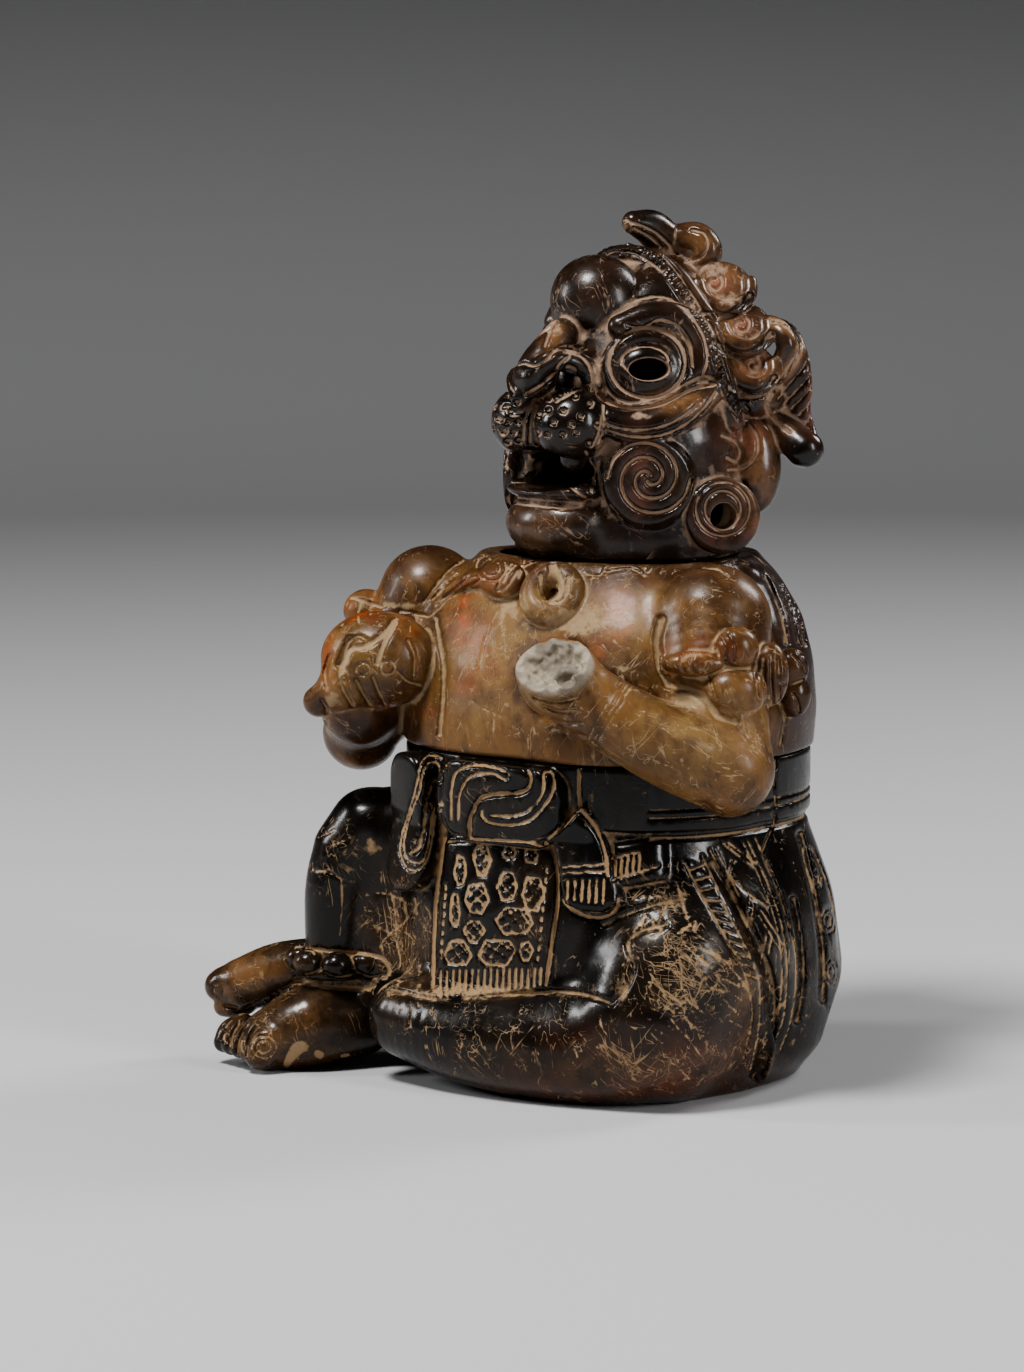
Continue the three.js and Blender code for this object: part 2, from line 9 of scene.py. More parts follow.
import bpy
import numpy as np
import openvdb
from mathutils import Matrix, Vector


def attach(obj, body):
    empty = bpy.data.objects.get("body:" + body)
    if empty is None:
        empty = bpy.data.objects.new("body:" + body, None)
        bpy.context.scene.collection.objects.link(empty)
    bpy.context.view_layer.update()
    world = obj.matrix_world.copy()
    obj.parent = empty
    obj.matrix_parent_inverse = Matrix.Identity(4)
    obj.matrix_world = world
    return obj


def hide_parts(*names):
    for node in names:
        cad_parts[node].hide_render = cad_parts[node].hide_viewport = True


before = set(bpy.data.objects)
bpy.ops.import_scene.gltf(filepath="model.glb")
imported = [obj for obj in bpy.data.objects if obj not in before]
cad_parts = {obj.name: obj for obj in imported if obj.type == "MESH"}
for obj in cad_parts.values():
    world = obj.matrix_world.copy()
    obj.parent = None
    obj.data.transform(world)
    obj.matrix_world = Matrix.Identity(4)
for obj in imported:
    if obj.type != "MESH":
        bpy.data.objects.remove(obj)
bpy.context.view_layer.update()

MM = 0.001
RAD = math.pi / 180
TURN = 2 * math.pi
FRONT = (0, -1, 0)
UP = (0, 0, 1)
FAR = 20.0  # distance given to voxels that nothing is near
HUGE = 1e9
TINY = 1e-6  # keeps a divisor from being 0

# The photograph and its camera
PHOTO_SIZE = (1024, 1372)
CAMERA_AT = (1342.1, -1717.9, 442.0)
CAMERA_AIM = (-32.2, -23.5, 158.3)
LENS = 140.27
SENSOR = 36.0
PX_PER_MM = 2.43  # at the figure's distance
VIEW_CELL = 4  # pixels across the cells in which the clay nearest to the camera is found
VIEW_SLACK = 9.0  # how far behind the nearest clay still counts as seen
EDGE_ON = 0.08  # share of turning to the camera at which carving begins
EDGE_FADE = 0.2  # and over which it grows to its full depth

# Fineness of the voxels of each piece, and the most triangles that a piece may have
QUICK_COARSENESS = 1.0
BASE_VOXEL = 0.8 * QUICK_COARSENESS
TORSO_VOXEL = 0.75 * QUICK_COARSENESS
HEAD_VOXEL = 0.62 * QUICK_COARSENESS
MOST_TRIANGLES = 190_000
REACH = 4.0  # how far from the surface voxels are carved
LIMB_STEPS = 6  # straight parts between two stations of a limb
LINE_STEPS = 5  # straight parts between two points of a carved line
FINE_RECESS = 1.2  # reach of the two scales at which recesses are found
BROAD_RECESS = 4.0

# Driving dimensions of the whole figure, nearly as in the solids
SEAM_Z = 136
NECK_Z = 213.5
REST_GAP = 0.3
WALL = 8
FLOOR = 9
CROWN_Z = 322
RIM_ROUNDING = 2.0
HIP_SQUARENESS = 2.6
SKULL_SQUARENESS = 1.8
HEAD_PLACE = {"x": 2, "y": 12, "turn": -7}

# Opposite corners of the block of voxels of each piece
BASE_BLOCK = ((-152, -114, -4), (100, 88, SEAM_Z + 6))
TORSO_BLOCK = ((-114, -106, 112), (112, 78, NECK_Z + 5))
HEAD_BLOCK = ((-72.2, -68, NECK_Z - 4), (72.2, 60, 356))

# Levels of the hollow bodies: height, half the width, and the reach to the front and the back
HIPS = [
    (0, 74, 60, 64), (8, 84, 69, 74), (42, 94, 75, 83), (76, 90, 74, 79), (108, 80, 68, 66),
    (110, 82, 70, 68), (SEAM_Z, 82, 70, 68),
]
CHEST = [
    (SEAM_Z + REST_GAP, 83, 71, 69), (152, 84, 70, 70), (172, 82, 66, 70), (190, 76, 59, 68),
    (205, 64, 48, 65), (NECK_Z, 53, 40, 60),
]
SKULL = [
    (NECK_Z + REST_GAP, 49, 49, 44), (222, 50, 51, 45), (262, 51, 45, 46), (298, 44, 38, 45),
    (314, 35.5, 30, 41), (327, 26, 17, 35), (335, 12, 1, 26),
]
LEVEL_STEP = 0.5  # the step at which curves through them are taken
LEVEL_MARGIN = 30  # and how far these go on above and below

# Legs: stations of a limb are x, y, z and radius
LEFT_THIGH = [(48, 14, 58, 24), (62, -14, 60, 34), (63, -38, 54, 34), (60, -50, 36, 31)]
LEFT_SHIN = [
    (60, -44, 27, 27), (44, -60, 23, 24), (14, -70, 22, 22), (-16, -74, 23, 20), (-44, -75, 26, 17),
]
RIGHT_THIGH = [(-50, -8, 62, 36), (-66, -35, 84, 25), (-81, -57, 99, 16.5)]
RIGHT_SHIN = [(-87, -62, 89, 15.5), (-90, -66, 72, 14), (-91, -66, 44, 13)]
CALF_WEB = [(-72, -50, 100, 13), (-74, -53, 70, 14), (-72, -54, 30, 16)]
RIGHT_FOOT = [(-84, -62, 20, 17), (-94, -80, 17, 17), (-104, -93, 12, 13)]
RIGHT_FOOT_EDGE = [(-96, -66, 15, 13), (-112, -80, 11, 10), (-118, -88, 9, 8)]
LEFT_FOOT = [(-102, -62, 38, 13), (-118, -71, 35, 13), (-132, -79, 30, 11)]
# Each with how far it blends into the clay
LEGS = [
    (LEFT_THIGH, 8), (LEFT_SHIN, 9), (RIGHT_THIGH, 10), (CALF_WEB, 8), (RIGHT_SHIN, 5),
    (RIGHT_FOOT, 5), (RIGHT_FOOT_EDGE, 5), (LEFT_FOOT, 4),
]
# Toes stand in a row from the big one to the last, and point the same way; the arch is how much
# higher a toe begins than it ends
RIGHT_TOES = {
    "tip": (-101, -103, 8.5), "point": (-0.3, -0.95, -0.05), "across": (-0.97, 0.2, 0.04), "count": 5,
    "arch": 5,
}
LEFT_TOES = {
    "tip": (-140, -84, 29), "point": (-0.85, -0.5, -0.2), "across": (0.2, 0, -1), "count": 2,
    "arch": 0,
}
TOE = {"big": 6.8, "small": 4.4, "length": 9, "spacing": 5.6, "gap": 0.6, "taper": 0.85}
TOE_FULLNESS = 1.2
ANKLET = {"centre": (-90, -67, 44), "radius": 15.5, "beads": 4, "bead": 6, "from": 210, "to": 360}

# Dress on the hips, seen from the front: its middle and size, or its corners x and z, and how far it
# stands proud of the clay
APRON = {"x": 0, "z": 72, "width": 60, "height": 62, "corner": 5, "proud": 3}
BOW = {"x": 2, "z": 119, "width": 62, "height": 34, "corner": 13, "proud": 9}
BOW_LOOP = {"x": -47, "z": 107, "width": 26, "height": 58, "corner": 12, "proud": 11}
TASSEL = {
    "corners": [
        (40, 121), (48, 107), (55, 93), (58, 83), (52, 79), (44, 79), (36, 81), (31, 95), (27, 107),
    ],
    "proud": 6,
}
SASH_END = {"corners": [(50, 106), (67, 109), (70, 92), (54, 88)], "proud": 3}
CLOTH_BACK = -30  # the depth at which it ends, inside the hips
CLOTH_ROUNDING = 4.0
HEM = [(72, -41, 95, 4), (83, -30, 75, 4), (90, -19, 50, 4), (87, -9, 25, 4), (81, -4, 8, 4)]

# Arms
LEFT_ARM = [(67, -19, 191, 24), (76, -29, 169, 21), (90, -37, 138, 17)]
LEFT_FOREARM = [(90, -38, 134, 16), (76, -58, 146, 16), (58, -73, 159, 14.5), (46, -78, 167, 14)]
LEFT_HAND = {"centre": (39, -82, 173), "radii": (16, 16, 15), "facing": (0.15, -0.75, 0.65)}
BROKEN_RIM = {
    "centre": (41, -85.5, 176), "radii": (16.5, 13), "length": 12, "facing": (0.02, -0.66, 0.75),
}
SOCKET = {"centre": (42, -89.5, 180), "radii": (14, 10.5, 12), "facing": (0.02, -0.66, 0.75)}
# The break of the left hand: all above it is cut away, its crumbs stand on a shallow bowl with a
# deeper hole, and its notches are cut round the rim
BREAK = {
    "above": (19, 15.5), "above_middle": 7, "above_length": 12,
    "depth": 8, "hole": (47, -88, 176), "hole_radii": (5, 4, 9),
    "crumbs": 90, "crumb_radii": (0.7, 2.1), "crumb_height": (-0.6, 0.8),
    "notches": 13, "notch_out": 13, "notch_radii": (4.5, 3), "notch_depth": (2.5, 5),
    "margin": 4,
}
RIGHT_ARM = [(-74, -26, 193, 21), (-84, -36, 166, 18), (-92, -49, 137, 16)]
RIGHT_FOREARM = {"centre": (-82, -61, 152), "radii": (17, 19, 17), "facing": (0.5, -0.85, 0)}
FIST = {"centre": (-66, -68, 171), "radii": (24, 20, 20), "facing": (0.5, -0.85, 0)}
THUMB = [(-72, -80, 163, 11), (-79, -84, 157, 7.5), (-84, -85, 154, 6.4)]
LEFT_KNOT = [
    {"centre": (81, -49, 179), "radii": (13, 5, 6), "facing": (0.61, -0.79, 0)},
    {"centre": (93, -37, 185), "radii": (9, 9, 8), "facing": (0.79, -0.61, 0)},
    {"centre": (93, -38, 168), "radii": (13, 10, 10), "facing": (0.79, -0.61, 0)},
    {"centre": (96, -19, 173), "radii": (8, 13, 7), "facing": (1, -0.2, 0)},
    {"centre": (86, 9, 172), "radii": (7, 8, 7), "facing": (1, 0.1, 0)},
    {"centre": (86, 11, 161), "radii": (7, 9, 7), "facing": (1, 0.1, 0)},
]
RIGHT_KNOT = {"centre": (-98, -39, 186), "radii": (11, 9, 9), "facing": (-1, -0.3, 0.2)}
CORD_KNOT = {"centre": (-16, -50, 206), "radii": (13, 8, 6), "facing": (-0.2, -0.8, 0.6)}
CORD_END = [(-18, -48, 206, 5), (-36, -46, 203, 4.5), (-50, -42, 197, 3.5)]
PENDANT = {"centre": (12.5, -53, 202), "radius": 8.5, "thickness": 5.5, "facing": (0.2, -0.85, 0.5)}
SHOULDER_KNOB = {"centre": (55, 18, 206), "radii": (8, 9, 6), "facing": (0.3, 0, 1)}

# The head; what is named for one side is made on both
BROW_BOSS = {"centre": (0, -20, 317), "radii": (19.5, 19, 19), "facing": FRONT}
NOSE = [(0, -40, 304, 7), (0, -50, 295, 8), (0, -55, 288, 9)]
NOSTRIL_WING = [(3, -60, 288, 4.5), (10, -55, 295, 4.5), (15, -42, 292, 4.5), (17, -39, 285, 4)]
NOSTRIL_DROP = 8
EYE_INSET = (3, 2.5)
MUZZLE = {"centre": (12.5, -46, 269), "radii": (15.5, 15, 15.5), "facing": (0.3, -1, 0)}
MOUTH = {"centre": (0, -56, 250), "radii": (24, 8, 26), "facing": FRONT}
FANG = {"centre": (14, -47, 256), "radii": (5, 6.5, 6)}
LOWER_LIP = {"centre": (0, -44, 242), "radii": (24, 5.5, 14), "facing": FRONT}
CHIN = {"centre": (0, -40, 228), "radii": (25, 15, 20), "facing": FRONT}
BROW = [(21, -28, 308, 5), (28, -17, 312, 5.5), (36, -7, 310, 6), (42, -2, 302, 6), (45, -3, 291, 5)]
EYE = {"centre": (30, -21.5, 291), "facing": (0.8, -0.6, 0.05)}
EYE_BALL = (13, 11, 8)
EYE_RING = {"radius": 13, "thickness": 3.2, "stretch": 1.2}
EYE_HOLE = (8, 4.5)
EYE_BAG = [(22, -42, 273, 5), (33, -31, 268, 7.5), (44, -15, 274, 6.5), (49, 1, 283, 4)]
CHEEK = {
    "centre": (37.5, -28, 246), "facing": (0.82, -0.57, 0),
    "radii": (18.5, 18.5), "length": 7, "rounding": 3,
}
EAR_FLARE = {
    "centre": (52, -1, 232), "facing": (0.85, -0.53, 0),
    "radii": (15.5, 15.5), "length": 12, "rounding": 2.5,
}
FLARE_HOLE = (5.5, 5.5)
HOLE_LENGTH = 60
EAR = {"centre": (48, 23, 250), "radii": (11, 19, 7), "facing": (0.85, -0.5, 0.1)}
HAIRLINE = [
    (0, -3, 336, 4), (12, -1, 334, 4), (23, 2, 328, 4), (32, 4, 318, 4), (39, 5, 309, 4),
    (43.5, 5, 297, 4), (47, 6, 285, 4), (49.5, 9, 269, 4),
]
HAIR_CURLS = [((30, 22, 321), 12.5), ((41, 23, 305), 12), ((46, 22, 289), 11)]
# A curl is a plate that leans out at its lower edge, where a roll runs
CURL_FACING = (0.7, -0.42, 0.56)
CURL_PLATE = {"length": 9, "facing": CURL_FACING, "rounding": 3}
CURL_LIP = {"radius": 2.9, "inset": 1.5, "height": 4.05, "from": -185, "to": 5, "stations": 8}
HAIR_MASS = {"centre": (42, 31, 277), "radii": (9, 9, 16)}
# The ribbon beside the hair is a bent sheet of strands between its front and its back edge
RIBBON = {
    "strands": 7, "thickness": 2.5, "edge": 4.4,
    "end": [(48, 35, 267, 5), (56, 37, 261, 7), (62, 38, 257, 7.6)],
    "front": [
        (23, 26, 302), (38, 32, 306), (50, 33, 306), (56, 33, 299), (51, 34, 290), (43, 35, 281),
        (41, 35, 272), (50, 34, 265), (62, 34, 255),
    ],
    "back": [
        (17, 32, 303), (32, 44, 307), (44, 47, 305), (51, 46, 298), (54, 46, 290), (55, 46, 281),
        (54, 46, 272), (56, 47, 264), (64, 43, 255),
    ],
}
TOPKNOT = [(-1, 2, 348, 5), (-1, 13, 345, 7.5), (-1, 23, 337, 8), (-1, 31, 330, 8)]
TOPKNOT_COIL = [
    (4, 23, 342, 5), (13, 25, 342, 6), (18, 26, 337, 6), (15, 26, 330, 6), (8, 25, 327, 5.5),
]


# Shapes: each is the box that holds it and a function that gives the distance to its surface

def unit(vector):
    vector = np.asarray(vector, float)
    return vector / np.linalg.norm(vector)


def axes_of(facing):
    """Across, up and along for a facing, as the solids take them."""
    along = unit(facing)
    across = unit((-along[1], along[0], 0))
    return across, np.cross(along, across), along


def local(x, y, z, centre, facing):
    """Coordinates across, up and along a facing, from a centre."""
    dx, dy, dz = x - centre[0], y - centre[1], z - centre[2]
    return [a[0] * dx + a[1] * dy + a[2] * dz for a in axes_of(facing)]


def mirrored(value, side):
    return (value[0] * side, *value[1:])


def oval(middle, radii, count=16):
    turns = np.linspace(0, TURN, count + 1)[:-1]
    return [(middle[0] + radii[0] * math.cos(t), middle[1] + radii[1] * math.sin(t)) for t in turns]


def spline(stations, steps, closed=False):
    """A smooth line through rows of numbers, as more rows."""
    rows = np.asarray(stations, float)
    if closed:
        rows = np.vstack([rows[-1], rows, rows[:2]])
    else:
        rows = np.vstack([2 * rows[0] - rows[1], rows, 2 * rows[-1] - rows[-2]])
    t = (np.arange(steps) / steps)[:, None]
    parts = []
    for a, b, c, d in zip(rows, rows[1:], rows[2:], rows[3:]):
        squared = 2 * a - 5 * b + 4 * c - d
        cubed = 3 * b - a - 3 * c + d
        parts.append(0.5 * (2 * b + (c - a) * t + squared * t**2 + cubed * t**3))
    parts.append(rows[-2][None, :])
    return np.vstack(parts)


def lump(centre, radii, facing=FRONT):
    """An egg-shaped lump; its radii run across, up and along its facing."""

    def gap(x, y, z):
        u, v, w = local(x, y, z, centre, facing)
        near = np.sqrt((u / radii[0]) ** 2 + (v / radii[1]) ** 2 + (w / radii[2]) ** 2)
        slope = np.sqrt((u / radii[0] ** 2) ** 2 + (v / radii[1] ** 2) ** 2 + (w / radii[2] ** 2) ** 2)
        return near * (near - 1) / np.maximum(slope, TINY)

    return np.array(centre) - max(radii), np.array(centre) + max(radii), gap


def peg(centre, radii, length, facing, rounding=1.0):
    """A straight oval peg with rounded rims, along its facing."""
    size = max(*radii, length / 2)

    def gap(x, y, z):
        u, v, w = local(x, y, z, centre, facing)
        share = np.sqrt((u / radii[0]) ** 2 + (v / radii[1]) ** 2)
        side = (share - 1) * min(radii) + rounding
        end = np.abs(w) - length / 2 + rounding
        outside = np.sqrt(np.maximum(side, 0) ** 2 + np.maximum(end, 0) ** 2)
        return outside + np.minimum(np.maximum(side, end), 0) - rounding

    return np.array(centre) - size, np.array(centre) + size, gap


def ring(centre, radius, thickness, facing, stretch=1.0):
    """A roll of clay closed to a ring, its hole along its facing."""
    size = radius * max(stretch, 1) + thickness

    def gap(x, y, z):
        u, v, w = local(x, y, z, centre, facing)
        out = np.sqrt((u / stretch) ** 2 + v**2) - radius
        return np.sqrt(out**2 + w**2) - thickness

    return np.array(centre) - size, np.array(centre) + size, gap


def limb(stations, flat=1.0, facing=UP):
    """A round-ended roll of clay through its stations, squeezed by flat along the facing."""
    nodes = spline(stations, LIMB_STEPS)
    widest = nodes[:, 3].max()
    towards = unit(facing)

    def segment_gap(x, y, z, a, b):
        line = b[:3] - a[:3]
        length = max(line @ line, TINY)
        dx, dy, dz = x - a[0], y - a[1], z - a[2]
        share = np.clip((dx * line[0] + dy * line[1] + dz * line[2]) / length, 0, 1)
        radius = a[3] + (b[3] - a[3]) * share
        dx, dy, dz = dx - share * line[0], dy - share * line[1], dz - share * line[2]
        squared = dx**2 + dy**2 + dz**2
        if flat == 1.0:
            return np.sqrt(squared) - radius
        thin = towards - line * (towards @ line) / length
        thin = thin / max(np.linalg.norm(thin), TINY)
        over = dx * thin[0] + dy * thin[1] + dz * thin[2]
        level = np.sqrt(np.maximum(squared - over**2, 0))
        return np.sqrt(over**2 + np.maximum(level - radius * (1 - flat), 0) ** 2) - radius * flat

    def gap(x, y, z):
        out = np.full(np.broadcast_shapes(x.shape, y.shape, z.shape), FAR, np.float32)
        for a, b in zip(nodes, nodes[1:]):
            reach = max(a[3], b[3]) + REACH + 2
            ends = zip(np.minimum(a, b)[:3] - reach, np.maximum(a, b)[:3] + reach)
            found = [np.searchsorted(axis.ravel(), pair) for axis, pair in zip((x, y, z), ends)]
            part = tuple(slice(*pair) for pair in found)
            if min(out[part].shape) == 0:
                continue
            made = segment_gap(x[part[0]], y[:, part[1]], z[:, :, part[2]], a, b)
            out[part] = np.minimum(out[part], made)
        return out

    return nodes[:, :3].min(0) - widest, nodes[:, :3].max(0) + widest, gap


def level_curves(levels, z, soften=5):
    """Half the width and the reach to the front and back at each height, with soft bends."""
    table = np.array(levels, float)
    fine = np.arange(table[0, 0] - LEVEL_MARGIN, table[-1, 0] + LEVEL_MARGIN, LEVEL_STEP)
    kernel = np.ones(int(soften / LEVEL_STEP) + 1)
    kernel /= kernel.sum()
    curves = []
    for column in (1, 2, 3):
        values = np.pad(np.interp(fine, table[:, 0], table[:, column]), len(kernel), "edge")
        values = np.convolve(values, kernel, "same")[len(kernel):-len(kernel)]
        curves.append(np.interp(z, fine, values).astype(np.float32))
    return curves


def vessel(levels, squareness, grow=0.0, bottom=None, top=None, soften=5):
    """The body of a vessel, cut level at its bottom and top."""
    table = np.array(levels, float)
    bottom = table[0, 0] if bottom is None else bottom
    top = table[-1, 0] if top is None else top
    wide = table[:, 1:].max() + grow

    def gap(x, y, z):
        side, front, back = level_curves(levels, z, soften)
        reach = np.where(y < 0, front, back) + grow
        share = (np.abs(x) / (side + grow)) ** squareness + (np.abs(y) / reach) ** squareness
        share = np.maximum(share, TINY) ** (1 / squareness)
        spread = np.maximum(np.sqrt(x**2 + y**2), 0.01)
        wall = spread * (1 - 1 / share)
        return smooth_max(wall, np.maximum(z - top, bottom - z), RIM_ROUNDING)

    return np.array([-wide, -wide, bottom]), np.array([wide, wide, top]), gap


def outline_gap(block, x, z):
    """Distance from the outline of cloth, seen from the front, less than 0 inside it."""
    if "corners" not in block:
        dx = np.abs(x - block["x"]) - block["width"] / 2 + block["corner"]
        dz = np.abs(z - block["z"]) - block["height"] / 2 + block["corner"]
        outside = np.sqrt(np.maximum(dx, 0) ** 2 + np.maximum(dz, 0) ** 2)
        return outside + np.minimum(np.maximum(dx, dz), 0) - block["corner"]
    corners = block["corners"]
    nearest = np.full(np.broadcast_shapes(x.shape, z.shape), HUGE)
    inside = np.zeros(nearest.shape, bool)
    for (ax, az), (bx, bz) in zip(corners, corners[1:] + corners[:1]):
        dx, dz = bx - ax, bz - az
        share = np.clip(((x - ax) * dx + (z - az) * dz) / (dx * dx + dz * dz), 0, 1)
        nearest = np.minimum(nearest, (x - ax - share * dx) ** 2 + (z - az - share * dz) ** 2)
        if dz:
            inside ^= ((z < az) != (z < bz)) & (x < ax + (z - az) * dx / dz)
    return np.sqrt(nearest) * np.where(inside, -1, 1)


def front_block(block, levels, squareness):
    """Cloth on the front of the hips, as thick as it stands proud of them."""
    low, high, body = vessel(levels, squareness, grow=block["proud"], top=SEAM_Z - REST_GAP)

    def gap(x, y, z):
        outline = np.maximum(outline_gap(block, x, z), y - CLOTH_BACK)
        return smooth_max(outline, body(x, y, z), CLOTH_ROUNDING)

    if "corners" in block:
        (left, under), (right, over) = np.min(block["corners"], 0), np.max(block["corners"], 0)
    else:
        left, right = block["x"] - block["width"] / 2, block["x"] + block["width"] / 2
        under, over = block["z"] - block["height"] / 2, block["z"] + block["height"] / 2
    return np.array([left, low[1], under]), np.array([right, CLOTH_BACK, over]), gap


def smooth_min(a, b, blend):
    if blend <= 0:
        return np.minimum(a, b)
    overlap = np.maximum(blend - np.abs(a - b), 0) / blend
    return np.minimum(a, b) - overlap**2 * blend / 4


def smooth_max(a, b, blend):
    return -smooth_min(-a, -b, blend)


class Clay:
    """A block of voxels that hold the distance to the clay's surface, less than 0 inside it."""

    def __init__(self, low, high, voxel):
        self.voxel = voxel
        self.low = np.array(low, float)
        counts = np.ceil((np.array(high, float) - self.low) / voxel).astype(int) + 1
        self.gap = np.full(counts, FAR, np.float32)

    def window(self, low, high):
        """The voxels in a box: their slices, and their coordinates as open arrays."""
        first = np.floor((low - self.low) / self.voxel).astype(int)
        last = np.ceil((high - self.low) / self.voxel).astype(int) + 1
        first = np.clip(first, 0, self.gap.shape)
        last = np.clip(last, 0, self.gap.shape)
        spans = []
        for start, end, origin in zip(first, last, self.low):
            span = np.arange(start, end, dtype=np.float32) * self.voxel + origin
            spans.append(span.astype(np.float32))
        where = tuple(slice(start, end) for start, end in zip(first, last))
        return where, np.meshgrid(*spans, indexing="ij", sparse=True)

    def everywhere(self):
        """The coordinates of all its voxels, as open arrays."""
        return self.window(self.low, self.low + np.array(self.gap.shape) * self.voxel)[1]

    def add(self, shape, blend):
        low, high, gap = shape
        where, at = self.window(low - REACH - blend, high + REACH + blend)
        self.gap[where] = smooth_min(self.gap[where], gap(*at).astype(np.float32), blend)

    def cut(self, shape, blend):
        low, high, gap = shape
        where, at = self.window(low - REACH - blend, high + REACH + blend)
        self.gap[where] = smooth_max(self.gap[where], -gap(*at).astype(np.float32), blend)

    def keep_above(self, z):
        self.gap = np.maximum(self.gap, (z - self.everywhere()[2]).astype(np.float32))

    def sample(self, volume, points):
        """Values of a volume at points, between its voxels."""
        place = np.clip((points - self.low) / self.voxel, 0, np.array(self.gap.shape) - 1.001)
        cell = place.astype(int)
        share = (place - cell).astype(np.float32)
        total = np.zeros(len(points), np.float32)
        for corner in range(8):
            step = np.array([corner & 1, corner >> 1 & 1, corner >> 2 & 1])
            weight = np.prod(np.where(step, share, 1 - share), axis=1)
            i, j, k = (cell + step).T
            total += weight * volume[i, j, k]
        return total


def box_blur(volume, width):
    """The mean over a box of voxels, run twice."""
    out = volume
    for _ in range(2):
        for axis in range(3):
            pad = [(0, 0)] * 3
            pad[axis] = (width + 1, width)
            run = np.cumsum(np.pad(out, pad, "edge"), axis=axis, dtype=np.float64)
            ahead = np.take(run, np.arange(2 * width + 1, run.shape[axis]), axis=axis)
            behind = np.take(run, np.arange(0, run.shape[axis] - 2 * width - 1), axis=axis)
            out = ((ahead - behind) / (2 * width + 1)).astype(np.float32)
    return out


# The photograph's camera, which places the carving

def photo_axes():
    forward = unit(np.subtract(CAMERA_AIM, CAMERA_AT))
    right = unit(np.cross(forward, UP))
    return right, np.cross(right, forward), forward


def photo_places(points):
    """Pixel column and row of points of the figure, and their distance from the camera."""
    right, up, forward = photo_axes()
    offset = points - np.array(CAMERA_AT)
    depth = offset @ forward
    scale = LENS / SENSOR * max(PHOTO_SIZE) / depth
    column = PHOTO_SIZE[0] / 2 + (offset @ right) * scale
    row = PHOTO_SIZE[1] / 2 - (offset @ up) * scale
    return column.astype(np.float32), row.astype(np.float32), depth.astype(np.float32)


def head_to_figure(points):
    """Places in the head's own axes, as places of the whole figure."""
    turn = HEAD_PLACE["turn"] * RAD
    across, back = (math.cos(turn), math.sin(turn), 0), (-math.sin(turn), math.cos(turn), 0)
    return points @ np.array([across, back, UP]) + np.array([HEAD_PLACE["x"], HEAD_PLACE["y"], 0])


def distance_to(column, row, path):
    """Distance of pixels to a line through the rows of a path."""
    nearest = np.full(len(column), HUGE, np.float32)
    for (ax, ay), (bx, by) in zip(path, path[1:]):
        dx, dy = bx - ax, by - ay
        along = ((column - ax) * dx + (row - ay) * dy) / max(dx * dx + dy * dy, TINY)
        share = np.clip(along, 0, 1)
        away = (column - ax - share * dx) ** 2 + (row - ay - share * dy) ** 2
        nearest = np.minimum(nearest, away)
    return np.sqrt(nearest)


# Tones laid on the clay; the dark tone also holds painted shade in gaps, pits, the mouth and below
# parts, and the pale tone a few painted highlights
TONES = ("pale", "red", "warm", "dark", "worn", "bare")


